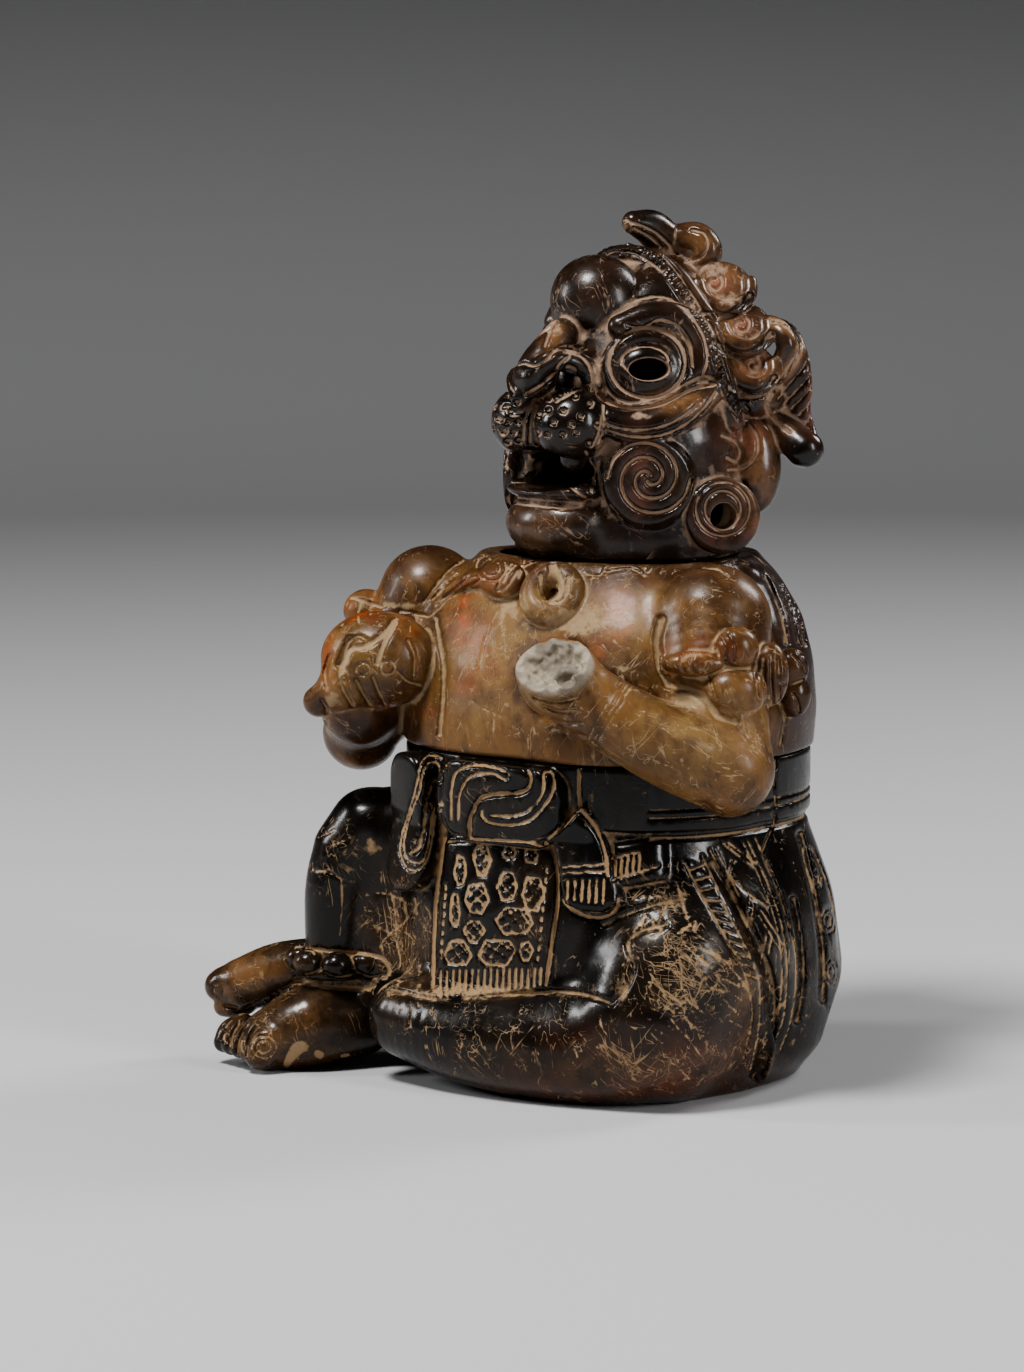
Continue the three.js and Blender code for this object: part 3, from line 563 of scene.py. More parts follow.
class Carving:
    """The clay near its surface, where lines are pressed in, ridges raised and colours laid on."""

    def __init__(self, clay, body, to_figure=lambda points: points):
        outer = body[2](*clay.everywhere()) > -WALL / 2
        self.clay = clay
        self.index = np.flatnonzero((np.abs(clay.gap) < REACH) & outer)
        cells = np.unravel_index(self.index, clay.gap.shape)
        places = [clay.low[k] + clay.voxel * cells[k] for k in range(3)]
        self.at = np.stack(places, 1).astype(np.float32)
        self.column, self.row, depth = photo_places(to_figure(self.at))
        self.seen = self.visible(depth)
        self.turned = self.turned_to_camera(to_figure)
        self.press = np.zeros(len(self.index), np.float32)
        self.rise = np.zeros(len(self.index), np.float32)
        self.tones = {tone: np.zeros(len(self.index), np.float32) for tone in TONES}

    def visible(self, depth):
        """Which of the voxels the photograph's camera sees."""
        surface = np.abs(self.clay.gap.ravel()[self.index]) < self.clay.voxel
        key = (self.row // VIEW_CELL).astype(int) * 1000 + (self.column // VIEW_CELL).astype(int)
        key = np.clip(key, 0, None)
        nearest = np.full(key.max() + 1, HUGE, np.float32)
        np.minimum.at(nearest, key[surface], depth[surface])
        return np.flatnonzero(depth < nearest[key] + VIEW_SLACK)

    def turned_to_camera(self, to_figure):
        """From 0 on clay seen edge on, or turned away, to 1 on clay that the camera sees well."""
        flat, counts = self.clay.gap.ravel(), self.clay.gap.shape
        slopes = np.empty((len(self.index), 3))
        for axis, step in enumerate((counts[1] * counts[2], counts[2], 1)):
            ahead = np.minimum(self.index + step, flat.size - 1)
            slopes[:, axis] = flat[ahead] - flat[self.index - step]
        slopes = to_figure(slopes) - to_figure(np.zeros((1, 3)))
        slopes /= np.maximum(np.linalg.norm(slopes, axis=1), TINY)[:, None]
        towards = -slopes @ photo_axes()[2]
        return np.clip((towards - EDGE_ON) / EDGE_FADE, 0, 1).astype(np.float32)

    def lay(self, where, share, depth, tone, strength):
        """Presses or raises the voxels by a share of the depth, and tones them."""
        target = self.press if depth > 0 else self.rise
        target[where] = np.maximum(target[where], abs(depth) * share)
        if tone:
            self.tones[tone][where] = np.maximum(self.tones[tone][where], strength * share)

    def line(self, points, width, depth, tone="pale", strength=1.0, closed=False, smooth=True):
        """A line drawn in pixels of the photograph, on what its camera sees."""
        path = spline(points, LINE_STEPS, closed) if smooth else np.array(points, float)
        reach = width * PX_PER_MM / 2
        column, row = self.column[self.seen], self.row[self.seen]
        (left, top), (right, bottom) = path.min(0) - reach, path.max(0) + reach
        inside = (column > left) & (column < right) & (row > top) & (row < bottom)
        pick = self.seen[inside]
        share = np.clip(1 - distance_to(self.column[pick], self.row[pick], path) / reach, 0, 1)
        self.lay(pick, share * (2 - share) * self.turned[pick], depth, tone, strength)

    def draw(self, table):
        """The lines of a table, each row with the width, depth, tone and strength of its pen."""
        for *pen, lines in table:
            for points in lines:
                self.line(points, *pen)

    def draw_ovals(self, table):
        """The oval lines of a table: each row has its pen, then the middles and radii."""
        for *pen, ovals in table:
            for middle, radii in ovals:
                self.line(oval(middle, radii), *pen, closed=True)

    def scatter(self, table, first_seed, depth, strength):
        """Worn strokes scattered over rectangles of the photograph, leaning to about one side."""
        for seed, (corners, count, lean, length) in enumerate(table, first_seed):
            chance = np.random.default_rng(seed)
            (left, top), (right, bottom) = corners
            for _ in range(count):
                start = np.array([chance.uniform(left, right), chance.uniform(top, bottom)])
                turn = (lean + chance.normal(0, 14)) * RAD
                reach = chance.uniform(*length)
                end = start + reach * np.array([math.cos(turn), math.sin(turn)])
                bend = (start + end) / 2 + chance.normal(0, reach * 0.05, 2)
                width = STROKE_WIDTH * chance.uniform(0.7, 1.5)
                share = strength * chance.uniform(0.5, 1.1)
                self.line([start, bend, end], width, depth, strength=share)

    def along(self, distance, where, width, depth, strength):
        """A line where a distance in millimetres, given for every voxel, is 0."""
        share = np.clip(1 - np.abs(distance) / (width / 2), 0, 1) * where
        pick = np.flatnonzero(share > 0)
        share = share[pick]
        self.lay(pick, share * (2 - share), depth, "pale", strength)

    def tint(self, table):
        """Soft spots of each tone: column, row, reach across and down in pixels, and strength."""
        column, row = self.column[self.seen], self.row[self.seen]
        for tone, spots in table.items():
            values = self.tones[tone]
            for middle, level, across, down, strength in spots:
                far = ((column - middle) / across) ** 2 + ((row - level) / down) ** 2
                values[self.seen] = np.maximum(values[self.seen], np.exp(-far) * strength)

    def wobble(self, size, spacing, seed):
        """Unevenness of hand-shaped clay: a few crossing waves."""
        chance = np.random.default_rng(seed)
        total = np.zeros(len(self.index), np.float32)
        for _ in range(WOBBLE_WAVES):
            way = unit(chance.normal(size=3)) * TURN / (spacing * chance.uniform(0.7, 1.6))
            total += np.sin(self.at @ way.astype(np.float32) + chance.uniform(0, 6.3))
        self.rise += size * total / WOBBLE_WAVES

    def mirror(self):
        """Repeats what is on the head's left side, the near one, on its right side."""
        self.press = self.folded(self.press)
        self.rise = self.folded(self.rise)
        self.tones = {tone: self.folded(values) for tone, values in self.tones.items()}

    def folded(self, values):
        volume = self.volume_of(values)
        middle = volume.shape[0] // 2
        volume[:middle] = volume[-1:-middle - 1:-1]
        return volume.ravel()[self.index]

    def volume_of(self, values):
        volume = np.zeros(self.clay.gap.shape, np.float32)
        volume.ravel()[self.index] = values
        return volume

    def apply(self):
        """Moves the surface and returns a volume for each tone."""
        self.clay.gap.ravel()[self.index] += self.press - self.rise
        return {tone: self.volume_of(values) for tone, values in self.tones.items()}


def hollows(clay):
    """How deep in a recess the surface is, at a fine and a broad scale; less than 0 on a ridge."""
    solid = np.clip(0.5 - clay.gap / clay.voxel, 0, 1).astype(np.float32)
    fine = box_blur(solid, max(1, round(FINE_RECESS / clay.voxel)))
    broad = box_blur(solid, max(2, round(BROAD_RECESS / clay.voxel)))
    return {"recess": (fine - 0.5) * 2, "bowl": (broad - 0.5) * 2}


def mesh_of(name, clay, volumes, to_figure=lambda points: points):
    """The clay's surface as an object, with each volume as a vertex attribute."""
    edge = 3 * clay.voxel
    grid = openvdb.FloatGrid(edge)
    grid.copyFromArray(np.clip(clay.gap, -edge, edge))
    points, quads = grid.convertToQuads(0.0)
    mesh = bpy.data.meshes.new(name)
    mesh.vertices.add(len(points))
    mesh.vertices.foreach_set("co", (points * clay.voxel + clay.low).astype(np.float32).ravel())
    mesh.loops.add(quads.size)
    mesh.loops.foreach_set("vertex_index", quads.astype(np.int32).ravel())
    mesh.polygons.add(len(quads))
    mesh.polygons.foreach_set("loop_start", np.arange(0, quads.size, 4, dtype=np.int32))
    mesh.update(calc_edges=True)
    mesh = thinned(mesh, min(1.0, MOST_TRIANGLES / (2 * len(quads))))
    places = np.empty(len(mesh.vertices) * 3, np.float32)
    mesh.vertices.foreach_get("co", places)
    places = places.reshape(-1, 3)
    for key, volume in volumes.items():
        layer = mesh.attributes.new(key, "FLOAT", "POINT")
        layer.data.foreach_set("value", clay.sample(volume, places).astype(np.float32))
    moved = (to_figure(places.astype(float)) * MM).astype(np.float32)
    mesh.vertices.foreach_set("co", moved.ravel())
    mesh.polygons.foreach_set("use_smooth", np.ones(len(mesh.polygons), bool))
    mesh.name = name
    mesh.update()
    piece = bpy.data.objects.new(name, mesh)
    bpy.context.scene.collection.objects.link(piece)
    return piece


def thinned(mesh, share):
    """The mesh with fewer triangles where it is flat."""
    holder = bpy.data.objects.new("holder", mesh)
    bpy.context.scene.collection.objects.link(holder)
    holder.modifiers.new("thin", "DECIMATE").ratio = share
    made = bpy.data.meshes.new_from_object(holder.evaluated_get(bpy.context.evaluated_depsgraph_get()))
    bpy.data.objects.remove(holder)
    bpy.data.meshes.remove(mesh)
    return made


def toe_stations(toes):
    """A row of toes, the big one first."""
    way = unit(toes["point"]) * TOE["length"]
    sideways = unit(toes["across"])
    rows = []
    for k in range(toes["count"]):
        radius = TOE["big"] if k == 0 else TOE["small"]
        offset = 0 if k == 0 else TOE["big"] - TOE["small"] + TOE["spacing"] * k + TOE["gap"]
        end = np.array(toes["tip"]) + sideways * offset
        arch = np.array([0, 0, toes["arch"]])
        full = radius * TOE_FULLNESS
        rows.append([
            (*(end - way + arch), full),
            (*(end - way * 0.35 + arch * 0.7), full),
            (*(end - arch * 0.1), full * TOE["taper"]),
        ])
    return rows


# Carving of the lower vessel. A row of a table of lines is the width and depth of a pen in
# millimetres, its tone and strength, and its lines in pixels of the photograph

HEM_EDGES = [
    [(685, 863), (697, 887), (710, 910), (723, 933), (738, 960), (748, 987), (752, 1017),
     (743, 1060)],
    [(702, 855), (715, 883), (728, 913), (742, 940), (755, 967), (760, 993), (758, 1033),
     (750, 1070)],
]
BASE_LINES = [
    # The bow: its two hooks, its middle fold and its edge
    (1.5, 1.0, "pale", 1.0, [
        [(451, 820), (452, 786), (458, 771), (474, 765), (496, 768), (509, 774), (504, 779),
         (491, 773), (470, 777), (460, 794), (458, 820)],
        [(482, 810), (482, 816), (491, 823), (512, 825), (531, 819), (547, 802), (554, 788),
         (553, 775), (547, 771), (543, 776), (544, 786), (540, 798), (527, 811), (510, 816),
         (491, 815)],
    ]),
    (3.0, 1.8, "pale", 0.7, [
        [(525, 763), (531, 777), (528, 788), (517, 793), (496, 794), (481, 798), (474, 809),
         (470, 821), (470, 834)],
    ]),
    (1.8, 0.8, "pale", 0.4, [
        [(442, 758), (442, 790), (443, 815), (451, 832), (478, 838), (520, 841), (545, 837),
         (560, 826), (574, 808)],
    ]),
    # The loop beside it and its channel
    (1.1, 0.9, "pale", 1.0, [
        [(447, 766), (440, 757), (430, 755), (421, 763), (417, 783), (410, 808), (403, 830),
         (400, 850), (405, 865), (413, 870), (422, 867), (428, 857), (432, 840), (434, 823),
         (438, 812), (443, 810)],
        [(444, 772), (438, 764), (430, 762), (423, 772), (419, 792), (410, 817), (405, 837),
         (404, 848), (407, 858), (414, 863), (422, 861), (427, 850), (430, 833), (432, 817),
         (437, 804), (443, 805)],
    ]),
    (3.4, 1.6, "pale", 0.55, [
        [(441, 778), (433, 784), (427, 800), (425, 817), (423, 833), (419, 847), (414, 851)],
    ]),
    # The apron's sides and top
    (2.2, 1.2, "pale", 1.0, [
        [(446, 832), (440, 867), (436, 900), (434, 940), (433, 986)],
        [(546, 843), (556, 860), (558, 900), (552, 942), (546, 985)],
    ]),
    (1.6, 0.8, "pale", 1.0, [[(447, 842), (470, 840), (496, 840), (530, 843), (548, 850)]]),
    # The tassel's edges and bars
    (1.9, 1.1, "pale", 1.0, [
        [(579, 770), (579, 790), (580, 808)], [(579, 810), (563, 827), (549, 839)],
        [(581, 810), (596, 828), (605, 852), (608, 876)],
        [(563, 900), (576, 912), (597, 918), (615, 912), (619, 898)],
    ]),
    (1.2, 0.8, "pale", 1.0, [
        [(563, 867), (607, 864)], [(563, 873), (607, 871)], [(612, 858), (640, 852)],
        [(612, 880), (660, 866)],
    ]),
    # The hem strip and the mat behind it
    (7, 3.2, None, 1.0, [
        [(712, 866), (732, 900), (752, 938), (766, 972), (771, 1010), (766, 1045), (757, 1075)],
    ]),
    (1.5, 1.1, "pale", 0.75, HEM_EDGES),
    (1.0, 0.7, "pale", 0.85, [
        [(710, 850), (730, 890), (747, 927), (760, 953)],
        [(715, 848), (735, 888), (752, 925), (764, 950)],
        [(747, 840), (767, 883), (782, 927), (787, 973), (782, 1023), (767, 1053)],
        [(742, 841), (762, 884), (777, 928), (782, 973), (777, 1020), (763, 1048)],
        [(755, 838), (774, 880), (790, 927), (796, 975), (790, 1022), (780, 1050)],
        [(730, 860), (728, 884), (734, 893)], [(735, 861), (733, 880), (767, 907)],
        [(727, 884), (750, 933)], [(750, 897), (747, 927)], [(754, 897), (751, 925)],
        [(757, 913), (782, 953)], [(760, 909), (784, 946)], [(767, 933), (760, 965)],
        [(772, 936), (766, 972), (772, 990)], [(722, 843), (753, 867)], [(726, 841), (757, 864)],
        [(760, 975), (778, 1000)], [(760, 1000), (782, 985)], [(762, 1025), (780, 1005)],
        [(762, 1045), (772, 1020), (786, 1000)],
    ]),
    # Folds on the back, and a crack below the waist
    (4, 1.8, "pale", 0.3, [
        [(793, 900), (800, 940), (802, 980), (796, 1020)],
        [(800, 835), (808, 865), (816, 905), (822, 950), (822, 1000)],
    ]),
    (1.2, 1.6, "dark", 1.0, [
        [(776, 753), (774, 785), (775, 817), (764, 848), (763, 858), (780, 897), (792, 940)],
    ]),
    # Creases of the left leg with earth in them
    (3.2, 1.4, "pale", 0.5, [
        [(392, 990), (440, 1000), (500, 996), (555, 992), (590, 996), (612, 1004)],
        [(612, 1004), (628, 985), (634, 965), (628, 945), (640, 932), (665, 925)],
        [(604, 925), (625, 915), (655, 905), (680, 900)],
    ]),
    # Lines worn or cracked through the slip, on the knee, below it and on the hip
    (1.0, 0.4, "pale", 0.85, [
        [(325, 857), (333, 845), (348, 840)], [(312, 870), (330, 873), (343, 880)],
        [(341, 880), (342, 905), (340, 935)], [(318, 838), (335, 830)],
        [(420, 902), (405, 922), (388, 935), (378, 950)], [(375, 893), (392, 895), (410, 905)],
        [(380, 870), (390, 890), (396, 915)], [(396, 940), (400, 960), (398, 985)],
        [(372, 925), (390, 932)], [(412, 880), (428, 892)],
        [(636, 898), (650, 895), (668, 900), (676, 912)], [(650, 895), (645, 915), (641, 930)],
        [(668, 900), (664, 918), (676, 930), (690, 925)],
        [(676, 880), (682, 900), (690, 925), (704, 940)], [(645, 915), (660, 930)],
    ]),
    # The anklet's cord and slits, and the gaps between the feet and between the toes, the slits and
    # gaps painted dark as painted shade
    (2.6, 0.9, "pale", 0.9, [
        [(296, 948), (320, 950), (352, 953), (380, 957), (389, 970), (383, 983)],
        [(294, 975), (306, 983), (338, 988), (370, 988), (386, 978)],
    ]),
    (1.6, 1.6, "dark", 1.0, [
        [(292, 970), (305, 974), (321, 971)], [(325, 973), (339, 977), (353, 975)],
        [(356, 972), (370, 977), (384, 974)],
    ]),
    (2.4, 1.6, "dark", 0.6, [[(226, 1027), (240, 1012), (262, 1000), (285, 988), (301, 980)]]),
    (1.8, 2.0, "dark", 0.6, [
        [(247, 1056), (249, 1040), (256, 1028)], [(238, 1052), (240, 1038), (248, 1024)],
        [(230, 1046), (233, 1034), (240, 1022)], [(225, 1006), (236, 1008)],
    ]),
    # Chips on the right foot
    (5.0, 0.4, "pale", 1.0, [[(287, 1063), (291, 1056), (295, 1050)]]),
    (7.0, 0.4, "pale", 1.0, [[(294, 1052), (299, 1048), (303, 1046)]]),
    (4.5, 0.4, "pale", 1.0, [[(318, 1054), (320, 1055)]]),
    (2.0, 0.4, "pale", 1.0, [[(342, 1056), (348, 1055)]]),
]
# Middles and radii of the rings on the back strip, and of the outlines of the nails
BASE_OVALS = [
    (1.0, 0.8, "pale", 0.7, [
        ((816, 880), (2.5, 4.5)), ((828, 921), (3.5, 6)), ((831, 972), (3, 6.5)),
        ((816, 880), (5, 9)), ((828, 921), (7, 12)), ((831, 972), (6, 13)),
    ]),
    (1.2, 0.8, "pale", 0.75, [
        ((264, 1047), (7, 6)), ((264, 1047), (12, 11)), ((219, 990), (5, 6)), ((244, 1046), (3, 6)),
        ((235, 1042), (3, 6)), ((227, 1038), (3, 5)),
    ]),
]
BACK_STRIP = [
    (803, 853), (812, 850), (826, 880), (836, 920), (840, 960), (836, 1000), (824, 1004), (823, 950),
    (814, 900),
]
APRON_DOTS = [[(446, 885), (441, 958)], [(547, 868), (537, 966)]]
DOT_SPACING = 9
DOT_LENGTH = 0.45
# Middle, half the width and half the height of each hatched patch
APRON_PATCHES = [
    (460, 870, 6, 16), (482, 860, 9, 17), (509, 853, 7, 7), (531, 856, 7, 8), (455, 910, 5, 18),
    (477, 898, 12, 17), (507, 886, 10, 16), (533, 893, 11, 19), (474, 931, 11, 11),
    (514, 921, 19, 15), (458, 953, 14, 14), (497, 952, 19, 15), (526, 951, 7, 10),
]
HATCH_SPACING = 8.5
FRINGE = {"left": (441, 970), "right": (541, 968), "count": 17, "length": (26, 17)}
TASSEL_FRINGES = [
    {"left": (568, 881), "right": (604, 879), "count": 6, "length": (18, 25)},
    {"left": (616, 860), "right": (640, 855), "count": 5, "length": (16, 16)},
]
HEM_NOTCHES = 17
HEM_NOTCHED = 12  # of the notches, those that are cut; the strip is plain below them
# Heights round the belt, and how near to its middle and outside which cloth the body is bare
BELT = {"lines": (119.5, 116), "edge": 107.5, "middle": 122, "reach": 20, "cloth": (-20, 62)}
WOBBLE_WAVES = 6
STROKE_WIDTH = 0.9
# Where worn strokes lie: corners, how many, their lean in degrees and their length
WORN_STROKES = [
    (((640, 930), (730, 1020)), 34, 36, (20, 50)), (((560, 1000), (700, 1080)), 14, 62, (8, 26)),
    (((400, 1000), (580, 1070)), 12, 70, (8, 24)), (((372, 880), (430, 1010)), 18, 80, (10, 30)),
    (((640, 900), (700, 940)), 14, 130, (8, 24)), (((310, 820), (360, 950)), 4, 60, (6, 18)),
]
BASE_TINTS = {
    "red": [
        (640, 1085, 130, 22, 0.7), (700, 1060, 50, 30, 0.6), (600, 1050, 60, 25, 0.35),
        (300, 1068, 30, 10, 0.5),
    ],
    "warm": [
        (250, 975, 45, 32, 1.0), (225, 1000, 25, 30, 0.9), (262, 1040, 30, 24, 0.8),
        (300, 1015, 50, 25, 0.6), (640, 1075, 110, 26, 0.35), (400, 940, 34, 60, 0.35),
        (745, 1010, 14, 60, 0.5), (320, 1050, 40, 20, 0.4),
    ],
    "pale": [
        (480, 992, 110, 8, 0.6), (380, 985, 30, 14, 0.55), (395, 930, 14, 50, 0.3),
        (712, 965, 14, 40, 0.4), (672, 900, 30, 14, 0.4), (372, 848, 12, 14, 0.55),
        (440, 860, 6, 60, 0.35), (620, 990, 14, 22, 0.5), (590, 806, 16, 8, 0.5),
    ],
    "worn": [
        (685, 975, 55, 55, 1.3), (660, 905, 40, 24, 1.2), (640, 1050, 120, 40, 0.8),
        (400, 940, 30, 70, 1.1), (500, 1030, 120, 40, 0.6), (340, 860, 30, 40, 0.5),
        (250, 1010, 60, 60, 0.6), (790, 950, 40, 100, 0.3),
    ],
}


def hatched_patch(carving, column, row, half_width, half_height, seed):
    """A rounded six-sided patch outlined and filled with crossed strokes."""
    chance = np.random.default_rng(seed)
    corners = []
    for k in range(6):
        turn = (k * 60 + chance.uniform(-12, 12)) * RAD
        corners.append((column + half_width * math.cos(turn), row + half_height * math.sin(turn)))
    carving.line(corners + corners[:1], width=1.3, depth=0.8, smooth=False)
    lean = chance.uniform(-15, 15)
    for base in (45, -40):
        turn = (base + lean) * RAD
        way = np.array([math.cos(turn), math.sin(turn)])
        over = np.array([-way[1], way[0]])
        reach = np.abs(over * (half_width, half_height)).sum() * 0.8
        for offset in np.arange(-reach, reach + 1, HATCH_SPACING):
            length = hatch_length(over * offset, way, half_width, half_height)
            if length:
                ends = [np.array([column, row]) + over * offset + way * end for end in length]
                carving.line(ends, width=0.9, depth=0.5, strength=0.8, smooth=False)


def hatch_length(start, way, half_width, half_height):
    """Where a line through a start crosses an oval round the origin, as two steps along its way."""
    size = np.array([half_width, half_height]) * 0.92
    a = ((way / size) ** 2).sum()
    b = 2 * (start * way / size**2).sum()
    c = ((start / size) ** 2).sum() - 1
    root = b * b - 4 * a * c
    if root <= 0:
        return None
    return (-b - math.sqrt(root)) / (2 * a), (-b + math.sqrt(root)) / (2 * a)


def fringe(carving, left, right, count, length):
    """A row of upright strokes between two ends."""
    for k in range(count):
        share = k / (count - 1)
        top = np.array(left) * (1 - share) + np.array(right) * share
        drop = length[0] * (1 - share) + length[1] * share
        carving.line([top, top + np.array([-1.0, drop])], 1.5, 0.9, smooth=False)


def carve_apron(carving):
    """The apron's dotted sides, its hatched patches and its fringe."""
    for start, end in APRON_DOTS:
        way = np.subtract(end, start)
        count = int(np.hypot(*way) / DOT_SPACING)
        for k in range(count):
            top = np.array(start) + way * k / count
            carving.line([top, top + way * DOT_LENGTH / count], 1.6, 0.8, smooth=False)
    for seed, patch in enumerate(APRON_PATCHES):
        hatched_patch(carving, *patch, seed)
    fringe(carving, **FRINGE)


def carve_hem(carving):
    """The notches across the hem strip."""
    left, right = [spline(edge, 12) for edge in HEM_EDGES]
    for k in range(1, HEM_NOTCHED):
        place = int(k * (len(left) - 1) / HEM_NOTCHES)
        carving.line([left[place], right[place]], 1.5, 1.1, strength=0.8, smooth=False)


def carve_belt(carving):
    """Lines round the belt and its lower edge, where no limb or cloth lies over the body."""
    x, y, z = carving.at.T
    side, front, back = level_curves(HIPS, z)
    skin = (np.abs(x) / side) ** 2 + (np.abs(y) / np.where(y < 0, front, back)) ** 2
    cloth = (y < BELT["cloth"][0]) & (x < BELT["cloth"][1])
    on_body = (skin < 1.35) & (np.abs(z - BELT["middle"]) < BELT["reach"]) & ~cloth
    for height in BELT["lines"]:
        carving.along(z - height, on_body, 1.3, 0.9, 0.6)
    carving.along(z - BELT["edge"], on_body, 2.6, 1.4, 0.35)


def carve_lower_vessel(carving):
    carving.wobble(0.5, 45, 3)
    carving.draw(BASE_LINES)
    carving.draw_ovals(BASE_OVALS)
    carving.line(BACK_STRIP, 1.2, 0.9, strength=0.7, closed=True)
    for row in TASSEL_FRINGES:
        fringe(carving, **row)
    carve_apron(carving)
    carve_hem(carving)
    carve_belt(carving)
    carving.scatter(WORN_STROKES, 0, 0.2, 0.9)
    carving.tint(BASE_TINTS)


def make_lower_vessel():
    clay = Clay(*BASE_BLOCK, BASE_VOXEL)
    below_belt, belt = HIPS[:-2], HIPS[-2:]
    clay.add(vessel([*below_belt, (SEAM_Z, *below_belt[-1][1:])], HIP_SQUARENESS, soften=14), 0)
    clay.add(vessel(belt, HIP_SQUARENESS), 1)
    for stations, blend in LEGS:
        clay.add(limb(stations), blend)
    for toe in toe_stations(RIGHT_TOES) + toe_stations(LEFT_TOES):
        clay.add(limb(toe), 1.2)
    for block in (APRON, BOW, BOW_LOOP, TASSEL, SASH_END):
        clay.add(front_block(block, HIPS, HIP_SQUARENESS), 0.8)
    clay.add(limb(HEM, flat=0.8, facing=(1, -0.6, 0)), 2)
    add_anklet(clay)
    clay.keep_above(0)
    carving = Carving(clay, vessel(HIPS, HIP_SQUARENESS, top=SEAM_Z))
    carve_lower_vessel(carving)
    volumes = {**carving.apply(), **hollows(clay)}
    clay.cut(vessel(HIPS, HIP_SQUARENESS, grow=-WALL, bottom=FLOOR, top=SEAM_Z + 10), 2)
    clay.keep_above(0)
    return mesh_of("lower_vessel_clay", clay, volumes)


def add_anklet(clay):
    """A row of round beads in a cord."""
    (x, y, z), radius, bead = ANKLET["centre"], ANKLET["radius"], ANKLET["bead"]
    places = []
    for k in range(ANKLET["beads"]):
        share = k / (ANKLET["beads"] - 1)
        turn = (ANKLET["from"] + (ANKLET["to"] - ANKLET["from"]) * share) * RAD
        places.append((x + radius * math.cos(turn), y + radius * math.sin(turn), z))
    clay.add(limb([(*place[:2], z - bead * 0.7, 2.6) for place in places]), 1)
    for place in places:
        clay.add(lump(place, (bead * 1.05, bead * 0.95, bead * 1.1)), 0.5)


# Carving of the torso

